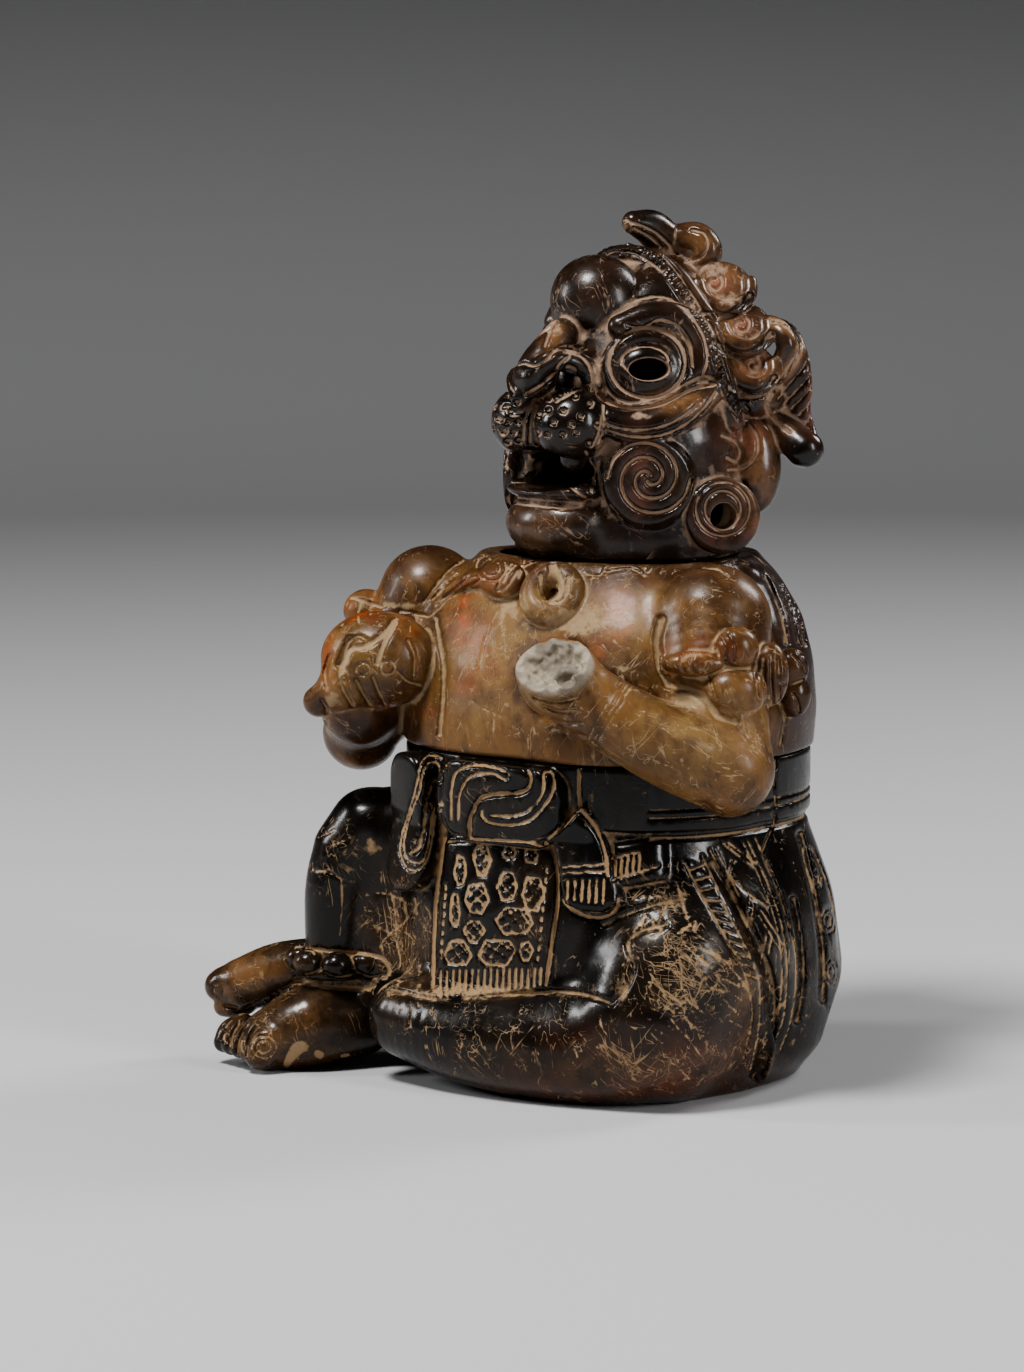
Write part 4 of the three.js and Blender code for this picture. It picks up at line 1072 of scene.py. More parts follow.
TORSO_LINES = [
    # The neck cord and the collar
    (1.5, 1.0, "pale", 0.6, [
        [(475, 560), (455, 577), (432, 600)], [(480, 567), (460, 585), (436, 606)],
        [(484, 578), (465, 589), (447, 602), (431, 616)], [(470, 557), (447, 572), (424, 602)],
        [(586, 574), (600, 576), (607, 566), (622, 562), (638, 565), (648, 573), (656, 560)],
        [(660, 574), (668, 562), (690, 560), (712, 566), (730, 578)],
        [(676, 558), (696, 566), (720, 570)], [(606, 572), (630, 569), (645, 577)],
        [(735, 555), (734, 575)],
    ]),
    (1.4, 1.2, "pale", 0.9, [
        [(497, 591), (500, 580), (511, 565), (521, 557), (524, 563), (516, 574), (505, 588),
         (497, 591)],
        [(503, 583), (508, 574), (517, 564)], [(518, 578), (526, 566), (540, 560)],
    ]),
    # The pendant's groove and core
    (1.7, 1.2, "pale", 1.0, [
        [(541, 574), (541, 586), (544, 597), (551, 603), (561, 601), (567, 592), (569, 578)],
    ]),
    (5.0, 2.2, "pale", 1.0, [[(553, 562), (554, 578), (556, 590)]]),
    # The chest's crease and its worn marks, and the creases of the left arm and behind it
    (3.2, 1.8, "pale", 0.6, [[(436, 618), (440, 640), (444, 669), (443, 700), (440, 735)]]),
    (1.0, 0.3, "pale", 0.7, [
        [(503, 608), (502, 630), (506, 660)], [(503, 608), (520, 622), (534, 640)],
        [(497, 612), (485, 640), (480, 668)], [(470, 700), (490, 712), (520, 722)],
    ]),
    (5.0, 2.2, "pale", 0.3, [
        [(661, 620), (657, 640), (660, 665), (668, 684)],
        [(668, 684), (700, 694), (718, 716), (735, 722)],
    ]),
    (2.0, 1.2, "dark", 1.0, [[(778, 700), (784, 716), (780, 745)]]),
    # The right shoulder and the stripes of its band
    (2.0, 1.1, "pale", 0.9, [[(352, 598), (372, 604), (392, 610), (412, 613), (428, 617)]]),
    (1.8, 1.2, "pale", 0.7, [
        [(349, 598), (343, 612), (342, 626)], [(361, 602), (358, 614), (359, 624)],
        [(371, 603), (370, 615)], [(379, 606), (378, 613)], [(346, 590), (362, 582), (372, 578)],
    ]),
    # The fist and its thumb
    (3.2, 1.4, "pale", 0.85, [
        [(395, 621), (381, 637), (366, 646), (352, 650), (345, 662), (341, 672)],
        [(396, 624), (386, 640), (380, 655), (377, 664)],
    ]),
    (5.0, 3.0, "dark", 0.6, [[(350, 640), (345, 652), (340, 664)]]),
    (2.4, 1.5, "pale", 0.4, [
        [(373, 677), (378, 690), (386, 706)], [(356, 680), (362, 692), (371, 706)],
        [(397, 672), (407, 681), (419, 685)], [(340, 680), (344, 692), (352, 705)],
        [(327, 688), (325, 672), (330, 655)], [(408, 640), (414, 655), (414, 676)],
        [(352, 640), (358, 636), (366, 640)],
    ]),
    (2.2, 1.4, "dark", 0.6, [[(322, 700), (327, 710), (326, 726)]]),
    # The left wrist and fingers, the arm band's knots and the grooves behind
    (1.2, 0.8, "pale", 0.7, [
        [(623, 679), (607, 704), (587, 742)], [(629, 682), (613, 707), (592, 744)],
        [(633, 684), (618, 708), (597, 745)],
    ]),
    # The grooves between the fingers are painted dark as painted shade
    (2.2, 1.2, "dark", 0.5, [
        [(544, 706), (558, 711), (577, 712)], [(547, 717), (565, 723), (583, 724)],
        [(534, 697), (556, 702), (578, 698)], [(552, 729), (570, 733), (586, 736)],
    ]),
    (1.7, 1.3, "pale", 0.5, [
        [(683, 655), (682, 663), (684, 671)], [(692, 654), (691, 663), (693, 671)],
        [(722, 637), (727, 648), (726, 660)], [(729, 634), (735, 646), (734, 660)],
        [(716, 645), (719, 655)], [(710, 676), (713, 688), (716, 698)],
        [(757, 655), (755, 675), (758, 699)], [(764, 655), (763, 678), (766, 704)],
        [(771, 655), (771, 680), (773, 706)], [(778, 657), (779, 678), (779, 700)],
        [(793, 655), (801, 663), (806, 672)], [(790, 690), (797, 700), (799, 712)],
        [(782, 682), (793, 684), (803, 680)],
    ]),
    (3.0, 1.8, None, 1.0, [
        [(764, 575), (774, 597), (782, 622), (787, 650)],
        [(780, 583), (790, 606), (797, 634), (800, 652)], [(793, 600), (801, 622), (806, 645)],
    ]),
]
# The cord's loops and the knuckles
TORSO_OVALS = [
    (1.3, 1.2, "pale", 0.8, [((491, 568), (15, 13)), ((491, 568), (9, 8))]),
    (1.5, 1.1, "pale", 0.7, [((363, 669), (7, 6.5)), ((388, 668), (7, 7)), ((344, 676), (5, 6))]),
]
TORSO_STROKE_SEED = 50
TORSO_STROKES = [
    (((450, 600), (540, 740)), 16, 80, (8, 26)), (((560, 600), (660, 690)), 12, 50, (8, 24)),
    (((600, 690), (760, 790)), 24, 30, (8, 30)), (((330, 570), (420, 640)), 8, 110, (6, 20)),
    (((470, 690), (600, 745)), 8, 10, (8, 26)),
]
TORSO_TINTS = {
    "warm": [
        (560, 640, 150, 90, 0.45), (690, 735, 80, 50, 1.0), (625, 620, 50, 45, 0.8),
        (500, 680, 70, 60, 0.9), (350, 660, 30, 40, 0.2),
    ],
    "red": [
        (461, 612, 11, 32, 1.0), (478, 650, 20, 28, 0.4), (465, 690, 14, 14, 0.4),
        (622, 612, 24, 30, 0.5), (358, 610, 20, 11, 0.9), (327, 650, 7, 34, 0.6),
        (406, 626, 12, 12, 0.6), (395, 712, 40, 10, 0.3), (595, 650, 10, 16, 0.5),
        (495, 580, 26, 16, 0.4), (530, 565, 14, 6, 0.6), (710, 650, 40, 14, 0.4),
    ],
    "pale": [
        (575, 620, 50, 22, 0.7), (512, 604, 30, 18, 0.55), (545, 650, 30, 40, 0.3),
        (690, 700, 30, 12, 0.7), (556, 585, 9, 20, 1.0), (400, 606, 34, 6, 0.6),
        (365, 650, 24, 8, 0.5), (332, 700, 10, 10, 0.6), (345, 655, 7, 14, 0.5),
        (620, 668, 24, 6, 0.5), (700, 655, 30, 6, 0.5),
    ],
    # Of the dark spots, those on the fist's lower side (395, 690) and below it (360, 730), below the
    # left hand (560, 735) and below the forearm (650, 760) are painted shade
    "dark": [
        (317, 704, 14, 16, 0.9), (395, 690, 36, 20, 0.6), (380, 655, 40, 30, 0.3),
        (360, 730, 50, 22, 0.7), (560, 735, 50, 16, 0.5), (470, 700, 40, 14, 0.4),
        (740, 640, 40, 40, 0.4), (650, 760, 50, 16, 0.4),
    ],
    "worn": [
        (525, 660, 100, 90, 1.0), (605, 620, 60, 50, 0.7), (690, 740, 80, 50, 1.0),
        (720, 600, 60, 30, 0.3), (380, 600, 60, 50, 0.6),
    ],
}


def darken_back(carving):
    """The slip is dark at the back and on the shoulders."""
    x, y, z = carving.at.T
    behind = np.clip((y * 0.8 + x * 0.1 - 2) / 18, 0, 1)
    above = 0.6 * np.clip((z - 200) / 10, 0, 1)
    dark = np.maximum(behind, above).astype(np.float32)
    carving.tones["dark"] = np.maximum(carving.tones["dark"], dark)


def break_hand(clay):
    """Leaves the hand's uneven broken edge."""
    chance = np.random.default_rng(11)
    facing = SOCKET["facing"]
    across, up, along = axes_of(facing)
    centre = np.array(SOCKET["centre"])
    bowl = (*SOCKET["radii"][:2], BREAK["depth"])
    above = centre + along * BREAK["above_middle"]
    clay.cut(peg(above, BREAK["above"], BREAK["above_length"], facing, 2), 1)
    clay.cut(lump(SOCKET["centre"], bowl, facing), 1)
    for k in range(BREAK["crumbs"]):
        turn, lean = chance.uniform(0, TURN), chance.uniform(0.1, 1.5)
        out = (across * math.cos(turn) + up * math.sin(turn)) * math.sin(lean) - along * math.cos(lean)
        steps = np.array([out @ across, out @ up, out @ along]) / bowl
        place = centre + out * (1 / np.linalg.norm(steps) + chance.uniform(*BREAK["crumb_height"]))
        clay.add(lump(place, chance.uniform(*BREAK["crumb_radii"], 3), chance.normal(size=3)), 1.2)
    clay.cut(lump(BREAK["hole"], BREAK["hole_radii"], facing), 1.5)
    for k in range(BREAK["notches"]):
        turn = k * TURN / BREAK["notches"] + chance.uniform(-0.2, 0.2)
        out = BREAK["notch_out"] + chance.uniform(-1.5, 1.5)
        place = centre + across * out * math.cos(turn) + up * out * math.sin(turn)
        place = place + along * chance.uniform(-0.5, 3)
        radii = (*BREAK["notch_radii"], chance.uniform(*BREAK["notch_depth"]))
        clay.cut(lump(place, radii, chance.normal(size=3)), 0.6)


def bare_clay(clay):
    """1 on the break's bare clay, and 0 away from it."""
    radii = [radius + BREAK["margin"] for radius in SOCKET["radii"]]
    low, high, gap = lump(SOCKET["centre"], radii, SOCKET["facing"])
    where, at = clay.window(low, high)
    bare = np.zeros(clay.gap.shape, np.float32)
    bare[where] = np.clip(3.2 - (gap(*at) + BREAK["margin"]) / 1.2, 0, 1)
    return bare


def make_torso():
    clay = Clay(*TORSO_BLOCK, TORSO_VOXEL)
    clay.add(vessel(CHEST, HIP_SQUARENESS, soften=8), 0)
    clay.add(limb(LEFT_ARM), 7)
    clay.add(limb(LEFT_FOREARM), 6)
    clay.add(limb(RIGHT_ARM), 7)
    clay.add(lump(**RIGHT_FOREARM), 6)
    clay.add(lump(**FIST), 2.5)
    clay.add(limb(THUMB), 4)
    clay.add(lump(**LEFT_HAND), 4)
    clay.add(peg(**BROKEN_RIM), 3)
    for knot in LEFT_KNOT:
        clay.add(lump(**knot), 1.2)
    clay.add(lump(**RIGHT_KNOT), 3)
    clay.add(lump(**CORD_KNOT), 1)
    clay.add(limb(CORD_END, flat=0.7), 1)
    clay.add(ring(**PENDANT), 1)
    clay.add(lump(**SHOULDER_KNOB), 2)
    carving = Carving(clay, vessel(CHEST, HIP_SQUARENESS))
    carving.wobble(0.5, 40, 5)
    carving.draw(TORSO_LINES)
    carving.draw_ovals(TORSO_OVALS)
    carving.scatter(TORSO_STROKES, TORSO_STROKE_SEED, 0.1, 0.7)
    carving.tint(TORSO_TINTS)
    darken_back(carving)
    volumes = carving.apply()
    break_hand(clay)
    volumes["bare"] = bare_clay(clay)
    volumes.update(hollows(clay))
    clay.cut(vessel(CHEST, HIP_SQUARENESS, grow=-WALL, bottom=SEAM_Z - 10, top=NECK_Z + 10), 2)
    clay.cut(vessel(HIPS, HIP_SQUARENESS, grow=REST_GAP, bottom=100, top=SEAM_Z + REST_GAP), 0)
    return mesh_of("torso_clay", clay, volumes)


# Carving of the head, on its near side and repeated on the other

RIBBON_EDGE = [
    (772, 322), (788, 327), (800, 340), (796, 358), (783, 377), (771, 393), (766, 407), (775, 420),
    (790, 432),
]
HEAD_LINES = [
    # Round the eye, over the cheek and beside the mouth
    (2.0, 1.3, "pale", 0.75, [
        [(602, 373), (608, 391), (626, 402), (652, 399), (678, 388), (702, 377), (716, 379)],
        [(601, 398), (625, 409), (660, 405), (690, 390), (715, 385)],
        [(606, 430), (632, 437), (662, 435), (686, 424), (705, 407), (716, 392)],
        [(604, 424), (632, 430), (661, 427), (684, 416), (700, 402)],
        [(632, 301), (662, 297), (685, 310), (702, 333), (707, 358), (703, 374)],
        [(627, 325), (641, 329), (659, 320), (679, 327), (689, 344), (692, 366)],
        [(598, 462), (599, 480), (606, 500), (622, 520)],
        [(519, 503), (548, 507), (578, 508), (588, 500)], [(586, 452), (594, 470), (591, 492)],
        [(596, 388), (603, 405), (601, 425), (595, 442)], [(556, 402), (590, 385), (600, 400)],
    ]),
    # The nose and the lips
    (2.2, 1.5, "pale", 0.75, [
        [(527, 394), (540, 386), (552, 376), (560, 364), (569, 357)],
        [(523, 363), (534, 366), (546, 360), (555, 351), (566, 346), (582, 348)],
        [(592, 390), (592, 376), (587, 363), (578, 355), (566, 352)],
        [(545, 346), (549, 334), (553, 320)],
        [(520, 489), (540, 482), (562, 483), (580, 494), (590, 500)],
        [(518, 455), (535, 452), (552, 454)],
    ]),
    # The ribbon: its edge, in three tones, and its stripes
    (7, 0, "warm", 1.0, [RIBBON_EDGE]),
    (5, 0, "pale", 0.6, [RIBBON_EDGE]),
    (1.2, 0.9, "dark", 0.7, [RIBBON_EDGE]),
    (1.3, 0.8, "pale", 0.7, [
        [(778, 399), (790, 383), (804, 366), (810, 350)],
        [(784, 404), (796, 391), (809, 376), (814, 362)],
        [(791, 409), (802, 398), (813, 385), (817, 374)], [(799, 415), (808, 405), (817, 394)],
        [(806, 423), (812, 413), (818, 404)],
    ]),
    # The ear
    (2.4, 1.6, "red", 0.7, [[(722, 436), (735, 442), (742, 452), (737, 462), (727, 458)]]),
    (2.0, 1.3, "pale", 0.7, [[(746, 420), (757, 436), (757, 455), (745, 468), (728, 470)]]),
    # Painted shadow below the curls of hair
    (4, 2.4, "dark", 1.0, [
        [(704, 314), (722, 317), (738, 309), (750, 296)],
        [(714, 343), (735, 355), (757, 350), (771, 334)],
        [(730, 388), (745, 396), (762, 392), (774, 378)],
    ]),
]
# The eye's two rings and the ear flare's
HEAD_OVALS = [
    (2.6, 1.5, "pale", 0.8, [((647, 363), (38, 35))]),
    (1.4, 0.8, "pale", 0.8, [((645, 361), (23, 14))]),
    (1.8, 1.3, "pale", 0.6, [((723, 509), (18, 18)), ((723, 509), (27, 27))]),
]
# Lines that are on one side only: the far half of the muzzle's strip, the topknot's horn and coil
ONE_SIDED_LINES = [
    (1.8, 1.2, "pale", 0.9, [
        [(531, 403), (525, 420), (523, 441)], [(538, 402), (531, 420), (530, 443)],
        [(630, 222), (642, 226), (656, 233), (670, 246), (678, 256)],
        [(634, 228), (652, 238), (664, 250)],
        [(684, 262), (700, 258), (708, 246), (704, 234), (692, 230)],
    ]),
]
HORN_TIP = [(1.2, 0.8, "pale", 0.8, [((626, 226), (5, 6))])]
# The nostril's hole, painted dark as painted shade
NOSTRIL_HOLE = [(569, 368), (573, 370)]
SPIRAL = {"middle": (649, 478), "outer": 42, "inner": 4, "turns": 1.3, "arms": 2}
BROW_BAND = [
    (602, 257), (628, 252), (650, 262), (668, 281), (684, 304), (698, 328), (709, 352), (716, 376),
    (725, 400), (739, 418),
]
BROW_BAND_WIDTH = (9, -8)  # to its other edge, in pixels
BAND_NOTCHES = 34
CURL_SPIRALS = [((714, 283), 9), ((741, 325), 9), ((754, 365), 8)]
CURL_WINDING = {"inner": 3, "turns": 0.95, "start": -0.9}
MUZZLE_PITS = [
    (548, 410), (563, 411), (580, 416), (560, 395), (575, 396), (589, 403), (539, 414), (562, 434),
    (547, 434), (537, 432), (589, 443), (575, 432), (597, 423), (553, 422), (571, 424), (548, 398),
]
FAR_PITS = [
    (510, 411), (503, 432), (513, 432), (518, 421), (500, 419), (508, 422), (516, 402), (518, 440),
    (507, 441),
]
HEAD_TINTS = {
    # Of the pale spots, those on the first curl (712, 270) and (728, 300) are partly its whitish slip
    # and partly a painted highlight, and the thin ones on the ridge below the eye (640, 416) and (680,
    # 400) are painted highlights
    "pale": [
        (712, 270, 26, 12, 0.6), (728, 300, 26, 10, 0.55), (640, 416, 30, 6, 0.45),
        (556, 330, 9, 16, 0.6), (575, 350, 24, 5, 0.6), (640, 258, 34, 8, 0.4),
        (694, 250, 14, 16, 0.35), (742, 330, 24, 18, 0.35), (755, 372, 22, 16, 0.35),
        (560, 530, 40, 14, 0.3), (600, 440, 8, 40, 0.5), (597, 372, 7, 34, 0.6),
        (680, 400, 40, 5, 0.4),
    ],
    "red": [
        (745, 440, 22, 30, 0.7), (735, 530, 36, 22, 0.4), (742, 326, 16, 12, 0.5),
        (755, 365, 14, 12, 0.7), (716, 283, 12, 10, 0.8), (640, 480, 14, 46, 0.3),
        (812, 400, 10, 40, 0.5),
    ],
    "warm": [
        (696, 246, 24, 22, 1.0), (626, 225, 9, 9, 1.0), (552, 330, 12, 20, 1.0),
        (685, 402, 34, 12, 0.9), (540, 530, 30, 22, 0.5), (755, 455, 24, 60, 0.9),
        (735, 325, 34, 26, 0.7), (722, 285, 30, 26, 0.9), (755, 362, 26, 24, 0.8),
        (760, 500, 20, 40, 0.6), (512, 500, 10, 50, 0.9),
    ],
    # Of the dark spots, the one below the curls of hair (748, 402) is a painted shadow and the one in
    # the mouth (568, 462) painted shade
    "dark": [
        (800, 452, 26, 22, 1.0), (570, 425, 30, 22, 0.7), (568, 462, 24, 18, 1.0),
        (640, 535, 60, 20, 0.6), (748, 402, 16, 20, 1.3),
    ],
    "worn": [(590, 295, 50, 50, 0.7), (550, 525, 60, 40, 0.7), (730, 310, 60, 60, 0.4)],
}


def winding(middle, outer, inner, turns, start):
    """Points of a spiral that winds in to its middle."""
    count = int(turns * 14)
    points = []
    for k in range(count + 1):
        share = k / count
        radius = outer + (inner - outer) * share
        turn = start + share * turns * TURN
        points.append((middle[0] + radius * math.cos(turn), middle[1] + radius * math.sin(turn)))
    return points


def carve_face(carving):
    carving.draw(HEAD_LINES)
    carving.draw_ovals(HEAD_OVALS)
    # The nostril's hole is painted dark as painted shade
    carving.line(NOSTRIL_HOLE, 4.4, 3.4, "dark", smooth=False)
    for arm in range(SPIRAL["arms"]):
        start = math.pi + arm * TURN / SPIRAL["arms"]
        path = winding(SPIRAL["middle"], SPIRAL["outer"], SPIRAL["inner"], SPIRAL["turns"], -start)
        carving.line(path, 2.2, 1.8, strength=0.8)


def carve_hair(carving):
    """The notched band between face and hair, and the curls' spirals."""
    other = [tuple(np.add(place, BROW_BAND_WIDTH)) for place in BROW_BAND]
    for edge in (BROW_BAND, other):
        carving.line(edge, 1.8, 1.3, strength=0.45)
    near, far = spline(BROW_BAND, 10), spline(other, 10)
    for k in range(6, BAND_NOTCHES):
        place = int(k * (len(near) - 1) / BAND_NOTCHES)
        # The notches are painted dark as painted shade
        carving.line([near[place], far[place]], 1.2, 1.1, "dark", smooth=False)
    for middle, radius in CURL_SPIRALS:
        carving.line(winding(middle, radius, **CURL_WINDING), 2.6, 1.5, "red", 0.9)


def carve_muzzle(carving, pits):
    """Pits with a pale rim below them; the pits are painted dark as painted shade."""
    for x, y in pits:
        rim = [(x - 3, y + 3), (x + 1, y + 5), (x + 4, y + 3), (x + 5, y - 1)]
        carving.line(rim, 1.2, 0.1, strength=0.75)
        carving.line([(x, y), (x + 1, y)], 2.6, 1.7, "dark", smooth=False)


def on_side(shape, side):
    """A shape of the head's left side, left there or mirrored to the right one."""
    moved = {key: mirrored(shape[key], side) for key in ("centre", "facing") if key in shape}
    return {**shape, **moved}


def nostril(side):
    drop = NOSTRIL_DROP if side < 0 else 0
    return [(x * side, y, z - drop, radius) for x, y, z, radius in NOSTRIL_WING]


def set_in(row, side):
    """The right eye and its brow are set further in and back than the left ones."""
    x, y, *rest = row
    return (x - EYE_INSET[0], y + EYE_INSET[1], *rest) if side < 0 else tuple(row)


def eye_on(side):
    return on_side({**EYE, "centre": set_in(EYE["centre"], side)}, side)


def add_face(clay, side):
    """The parts of the mask that come in pairs."""
    clay.add(lump(**on_side(MUZZLE, side)), 1.5)
    clay.add(limb(nostril(side)), 1.5)
    for roll in (BROW, EYE_BAG):
        clay.add(limb([mirrored(set_in(row, side), side) for row in roll]), 2)
    clay.add(lump(**eye_on(side), radii=EYE_BALL), 1)
    clay.add(ring(**eye_on(side), **EYE_RING), 1.5)
    clay.add(peg(**on_side(CHEEK, side)), 2)


def add_ribbon(clay, side):
    front, back = np.array(RIBBON["front"], float), np.array(RIBBON["back"], float)
    for k in range(RIBBON["strands"]):
        rows = front + (back - front) * k / (RIBBON["strands"] - 1)
        radius = RIBBON["edge"] if k == 0 else RIBBON["thickness"]
        clay.add(limb([mirrored((*row, radius), side) for row in rows]), 0.3)
    clay.add(limb([mirrored(row, side) for row in RIBBON["end"]]), 1.5)


def curl_lip(centre, radius, side):
    """Stations of the roll along the lower edge of a curl."""
    across, up, along = axes_of(CURL_FACING)
    rows = []
    for turn in np.linspace(CURL_LIP["from"], CURL_LIP["to"], CURL_LIP["stations"]) * RAD:
        out = across * math.cos(turn) + up * math.sin(turn)
        place = np.array(centre) + out * (radius - CURL_LIP["inset"]) + along * CURL_LIP["height"]
        rows.append(mirrored((*place, CURL_LIP["radius"]), side))
    return rows


def add_hair(clay, side):
    """The ear, its flare, the hair and the ribbon beside it."""
    clay.add(lump(**on_side(EAR, side)), 3)
    clay.add(peg(**on_side(EAR_FLARE, side)), 1)
    clay.add(limb([mirrored(row, side) for row in HAIRLINE]), 1.5)
    for centre, radius in HAIR_CURLS:
        plate = on_side({**CURL_PLATE, "centre": centre}, side)
        clay.add(peg(**plate, radii=(radius, radius)), 0.6)
        clay.add(limb(curl_lip(centre, radius, side)), 1.5)
    clay.add(lump(**on_side(HAIR_MASS, side)), 2)
    add_ribbon(clay, side)


def pierce(clay, side):
    flare = on_side(EAR_FLARE, side)
    for hole, radii in ((eye_on(side), EYE_HOLE), (flare, FLARE_HOLE)):
        clay.cut(peg(hole["centre"], radii, HOLE_LENGTH, hole["facing"], 0), 1.5)


def make_head():
    clay = Clay(*HEAD_BLOCK, HEAD_VOXEL)
    # The block is moved so that its voxels lie alike on both sides
    clay.low[0] = -(clay.gap.shape[0] - 1) / 2 * HEAD_VOXEL
    body = vessel(SKULL, SKULL_SQUARENESS, bottom=NECK_Z + REST_GAP)
    clay.add(body, 0)
    clay.add(lump(**BROW_BOSS), 1.5)
    clay.add(limb(NOSE), 2)
    clay.add(lump(**CHIN), 3)
    clay.add(lump(**LOWER_LIP), 1.5)
    for side in (1, -1):
        add_face(clay, side)
        add_hair(clay, side)
    clay.add(limb(TOPKNOT), 1)
    clay.add(limb(TOPKNOT_COIL), 1)
    carving = Carving(clay, body, head_to_figure)
    carve_face(carving)
    carve_hair(carving)
    carve_muzzle(carving, MUZZLE_PITS)
    carving.tint(HEAD_TINTS)
    carving.mirror()
    carving.wobble(0.35, 35, 7)
    carve_muzzle(carving, FAR_PITS)
    carving.draw(ONE_SIDED_LINES)
    carving.draw_ovals(HORN_TIP)
    volumes = carving.apply()
    clay.cut(lump(**MOUTH), 2)
    volumes.update(hollows(clay))
    clay.add(lump(**FANG), 1)
    clay.cut(vessel(SKULL, SKULL_SQUARENESS, grow=-WALL, bottom=NECK_Z - 10, top=CROWN_Z), 2)
    for side in (1, -1):
        pierce(clay, side)
    clay.keep_above(NECK_Z + REST_GAP)
    return mesh_of("head_clay", clay, volumes, head_to_figure)


# Materials

class Nodes:
    """A short way to write a node material."""

    def __init__(self, name):
        self.material = bpy.data.materials.new(name)
        self.material.use_nodes = True
        self.tree = self.material.node_tree
        self.shader = self.tree.nodes["Principled BSDF"]

    def add(self, kind, inputs=(), **settings):
        node = self.tree.nodes.new(kind)
        for key, value in settings.items():
            setattr(node, key, value)
        for socket, value in dict(inputs).items():
            self.set(node.inputs[socket], value)
        return node

    def set(self, socket, value):
        if isinstance(value, bpy.types.NodeSocket):
            self.tree.links.new(value, socket)
        else:
            socket.default_value = value

    def attribute(self, name):
        return self.add("ShaderNodeAttribute", attribute_name=name).outputs["Fac"]

    def math(self, operation, a, b=0.0, clamp=False):
        node = self.add("ShaderNodeMath", operation=operation, use_clamp=clamp)
        self.set(node.inputs[0], a)
        self.set(node.inputs[1], b)
        return node.outputs[0]

    def plus(self, a, b):
        return self.math("ADD", a, b)

    def minus(self, a, b):
        return self.math("SUBTRACT", a, b)

    def times(self, a, b, clamp=False):
        return self.math("MULTIPLY", a, b, clamp)

    def most(self, a, b, clamp=False):
        return self.math("MAXIMUM", a, b, clamp)

    def noise(self, scale, detail=6.0, roughness=0.6, stretch=None, turn=(0, 0, 0), distortion=0.0):
        place = self.add("ShaderNodeTexCoord").outputs["Object"]
        if stretch:
            size = tuple(1 / share for share in stretch)
            settings = {"Vector": place, "Scale": size, "Rotation": turn}
            place = self.add("ShaderNodeMapping", settings, vector_type="TEXTURE").outputs[0]
        settings = {"Vector": place, "Scale": scale, "Detail": detail, "Roughness": roughness}
        settings["Distortion"] = distortion
        return self.add("ShaderNodeTexNoise", settings).outputs["Fac"]

    def ramp(self, value, low, high):
        """0 below low, 1 above high, and smooth between."""
        settings = {"Value": value, "From Min": low, "From Max": high}
        node = self.add("ShaderNodeMapRange", settings, interpolation_type="SMOOTHSTEP")
        return node.outputs["Result"]

    def mix(self, share, a, b):
        """A colour between a and b."""
        node = self.add("ShaderNodeMix", data_type="RGBA")
        self.set(node.inputs["Factor"], share)
        for socket, value in ((node.inputs[6], a), (node.inputs[7], b)):
            self.set(socket, (*value, 1.0) if isinstance(value, tuple) else value)
        return node.outputs[2]

    def blend(self, share, a, b):
        """A number between a and b."""
        node = self.add("ShaderNodeMix", data_type="FLOAT")
        self.set(node.inputs["Factor"], share)
        self.set(node.inputs[2], a)
        self.set(node.inputs[3], b)
        return node.outputs[0]


BARE_CLAY = (0.5, 0.43, 0.33)  # the unslipped clay in a fresh break
COAT_ROUGHNESS = 0.14
PALE_ROUGHNESS = 0.85
# Fine worn lines run along an axis turned to each of these ways: the turn and the fineness
SCRATCH_WAYS = [
    ((0, 0.63, 0.68), 15), ((0, 1.13, 0.68), 18), ((0, -0.88, 0.68), 13), ((0, 0.1, 0.68), 20),
    ((0, 1.45, 0.68), 16), ((0, 0.5, 0.9), 26),
]
SCRATCH_STRETCH = (1, 13, 13)


def scratches(nodes, amount):
    """Fine worn lines that cross at several angles, from 0 to 1; amount is 0 to about 0.3."""
    total = 0.0
    for seed, (turn, scale) in enumerate(SCRATCH_WAYS):
        wave = nodes.noise(scale, 2.0, 0.45, SCRATCH_STRETCH, turn, 0.3)
        close = nodes.math("ABSOLUTE", nodes.minus(wave, 0.5))
        line = nodes.minus(1.0, nodes.ramp(close, 0.003, 0.017))
        place = nodes.plus(nodes.noise(34 + 13 * seed, 3.0), amount)
        total = nodes.most(total, nodes.times(line, nodes.ramp(place, 0.62, 0.74)))
    return total


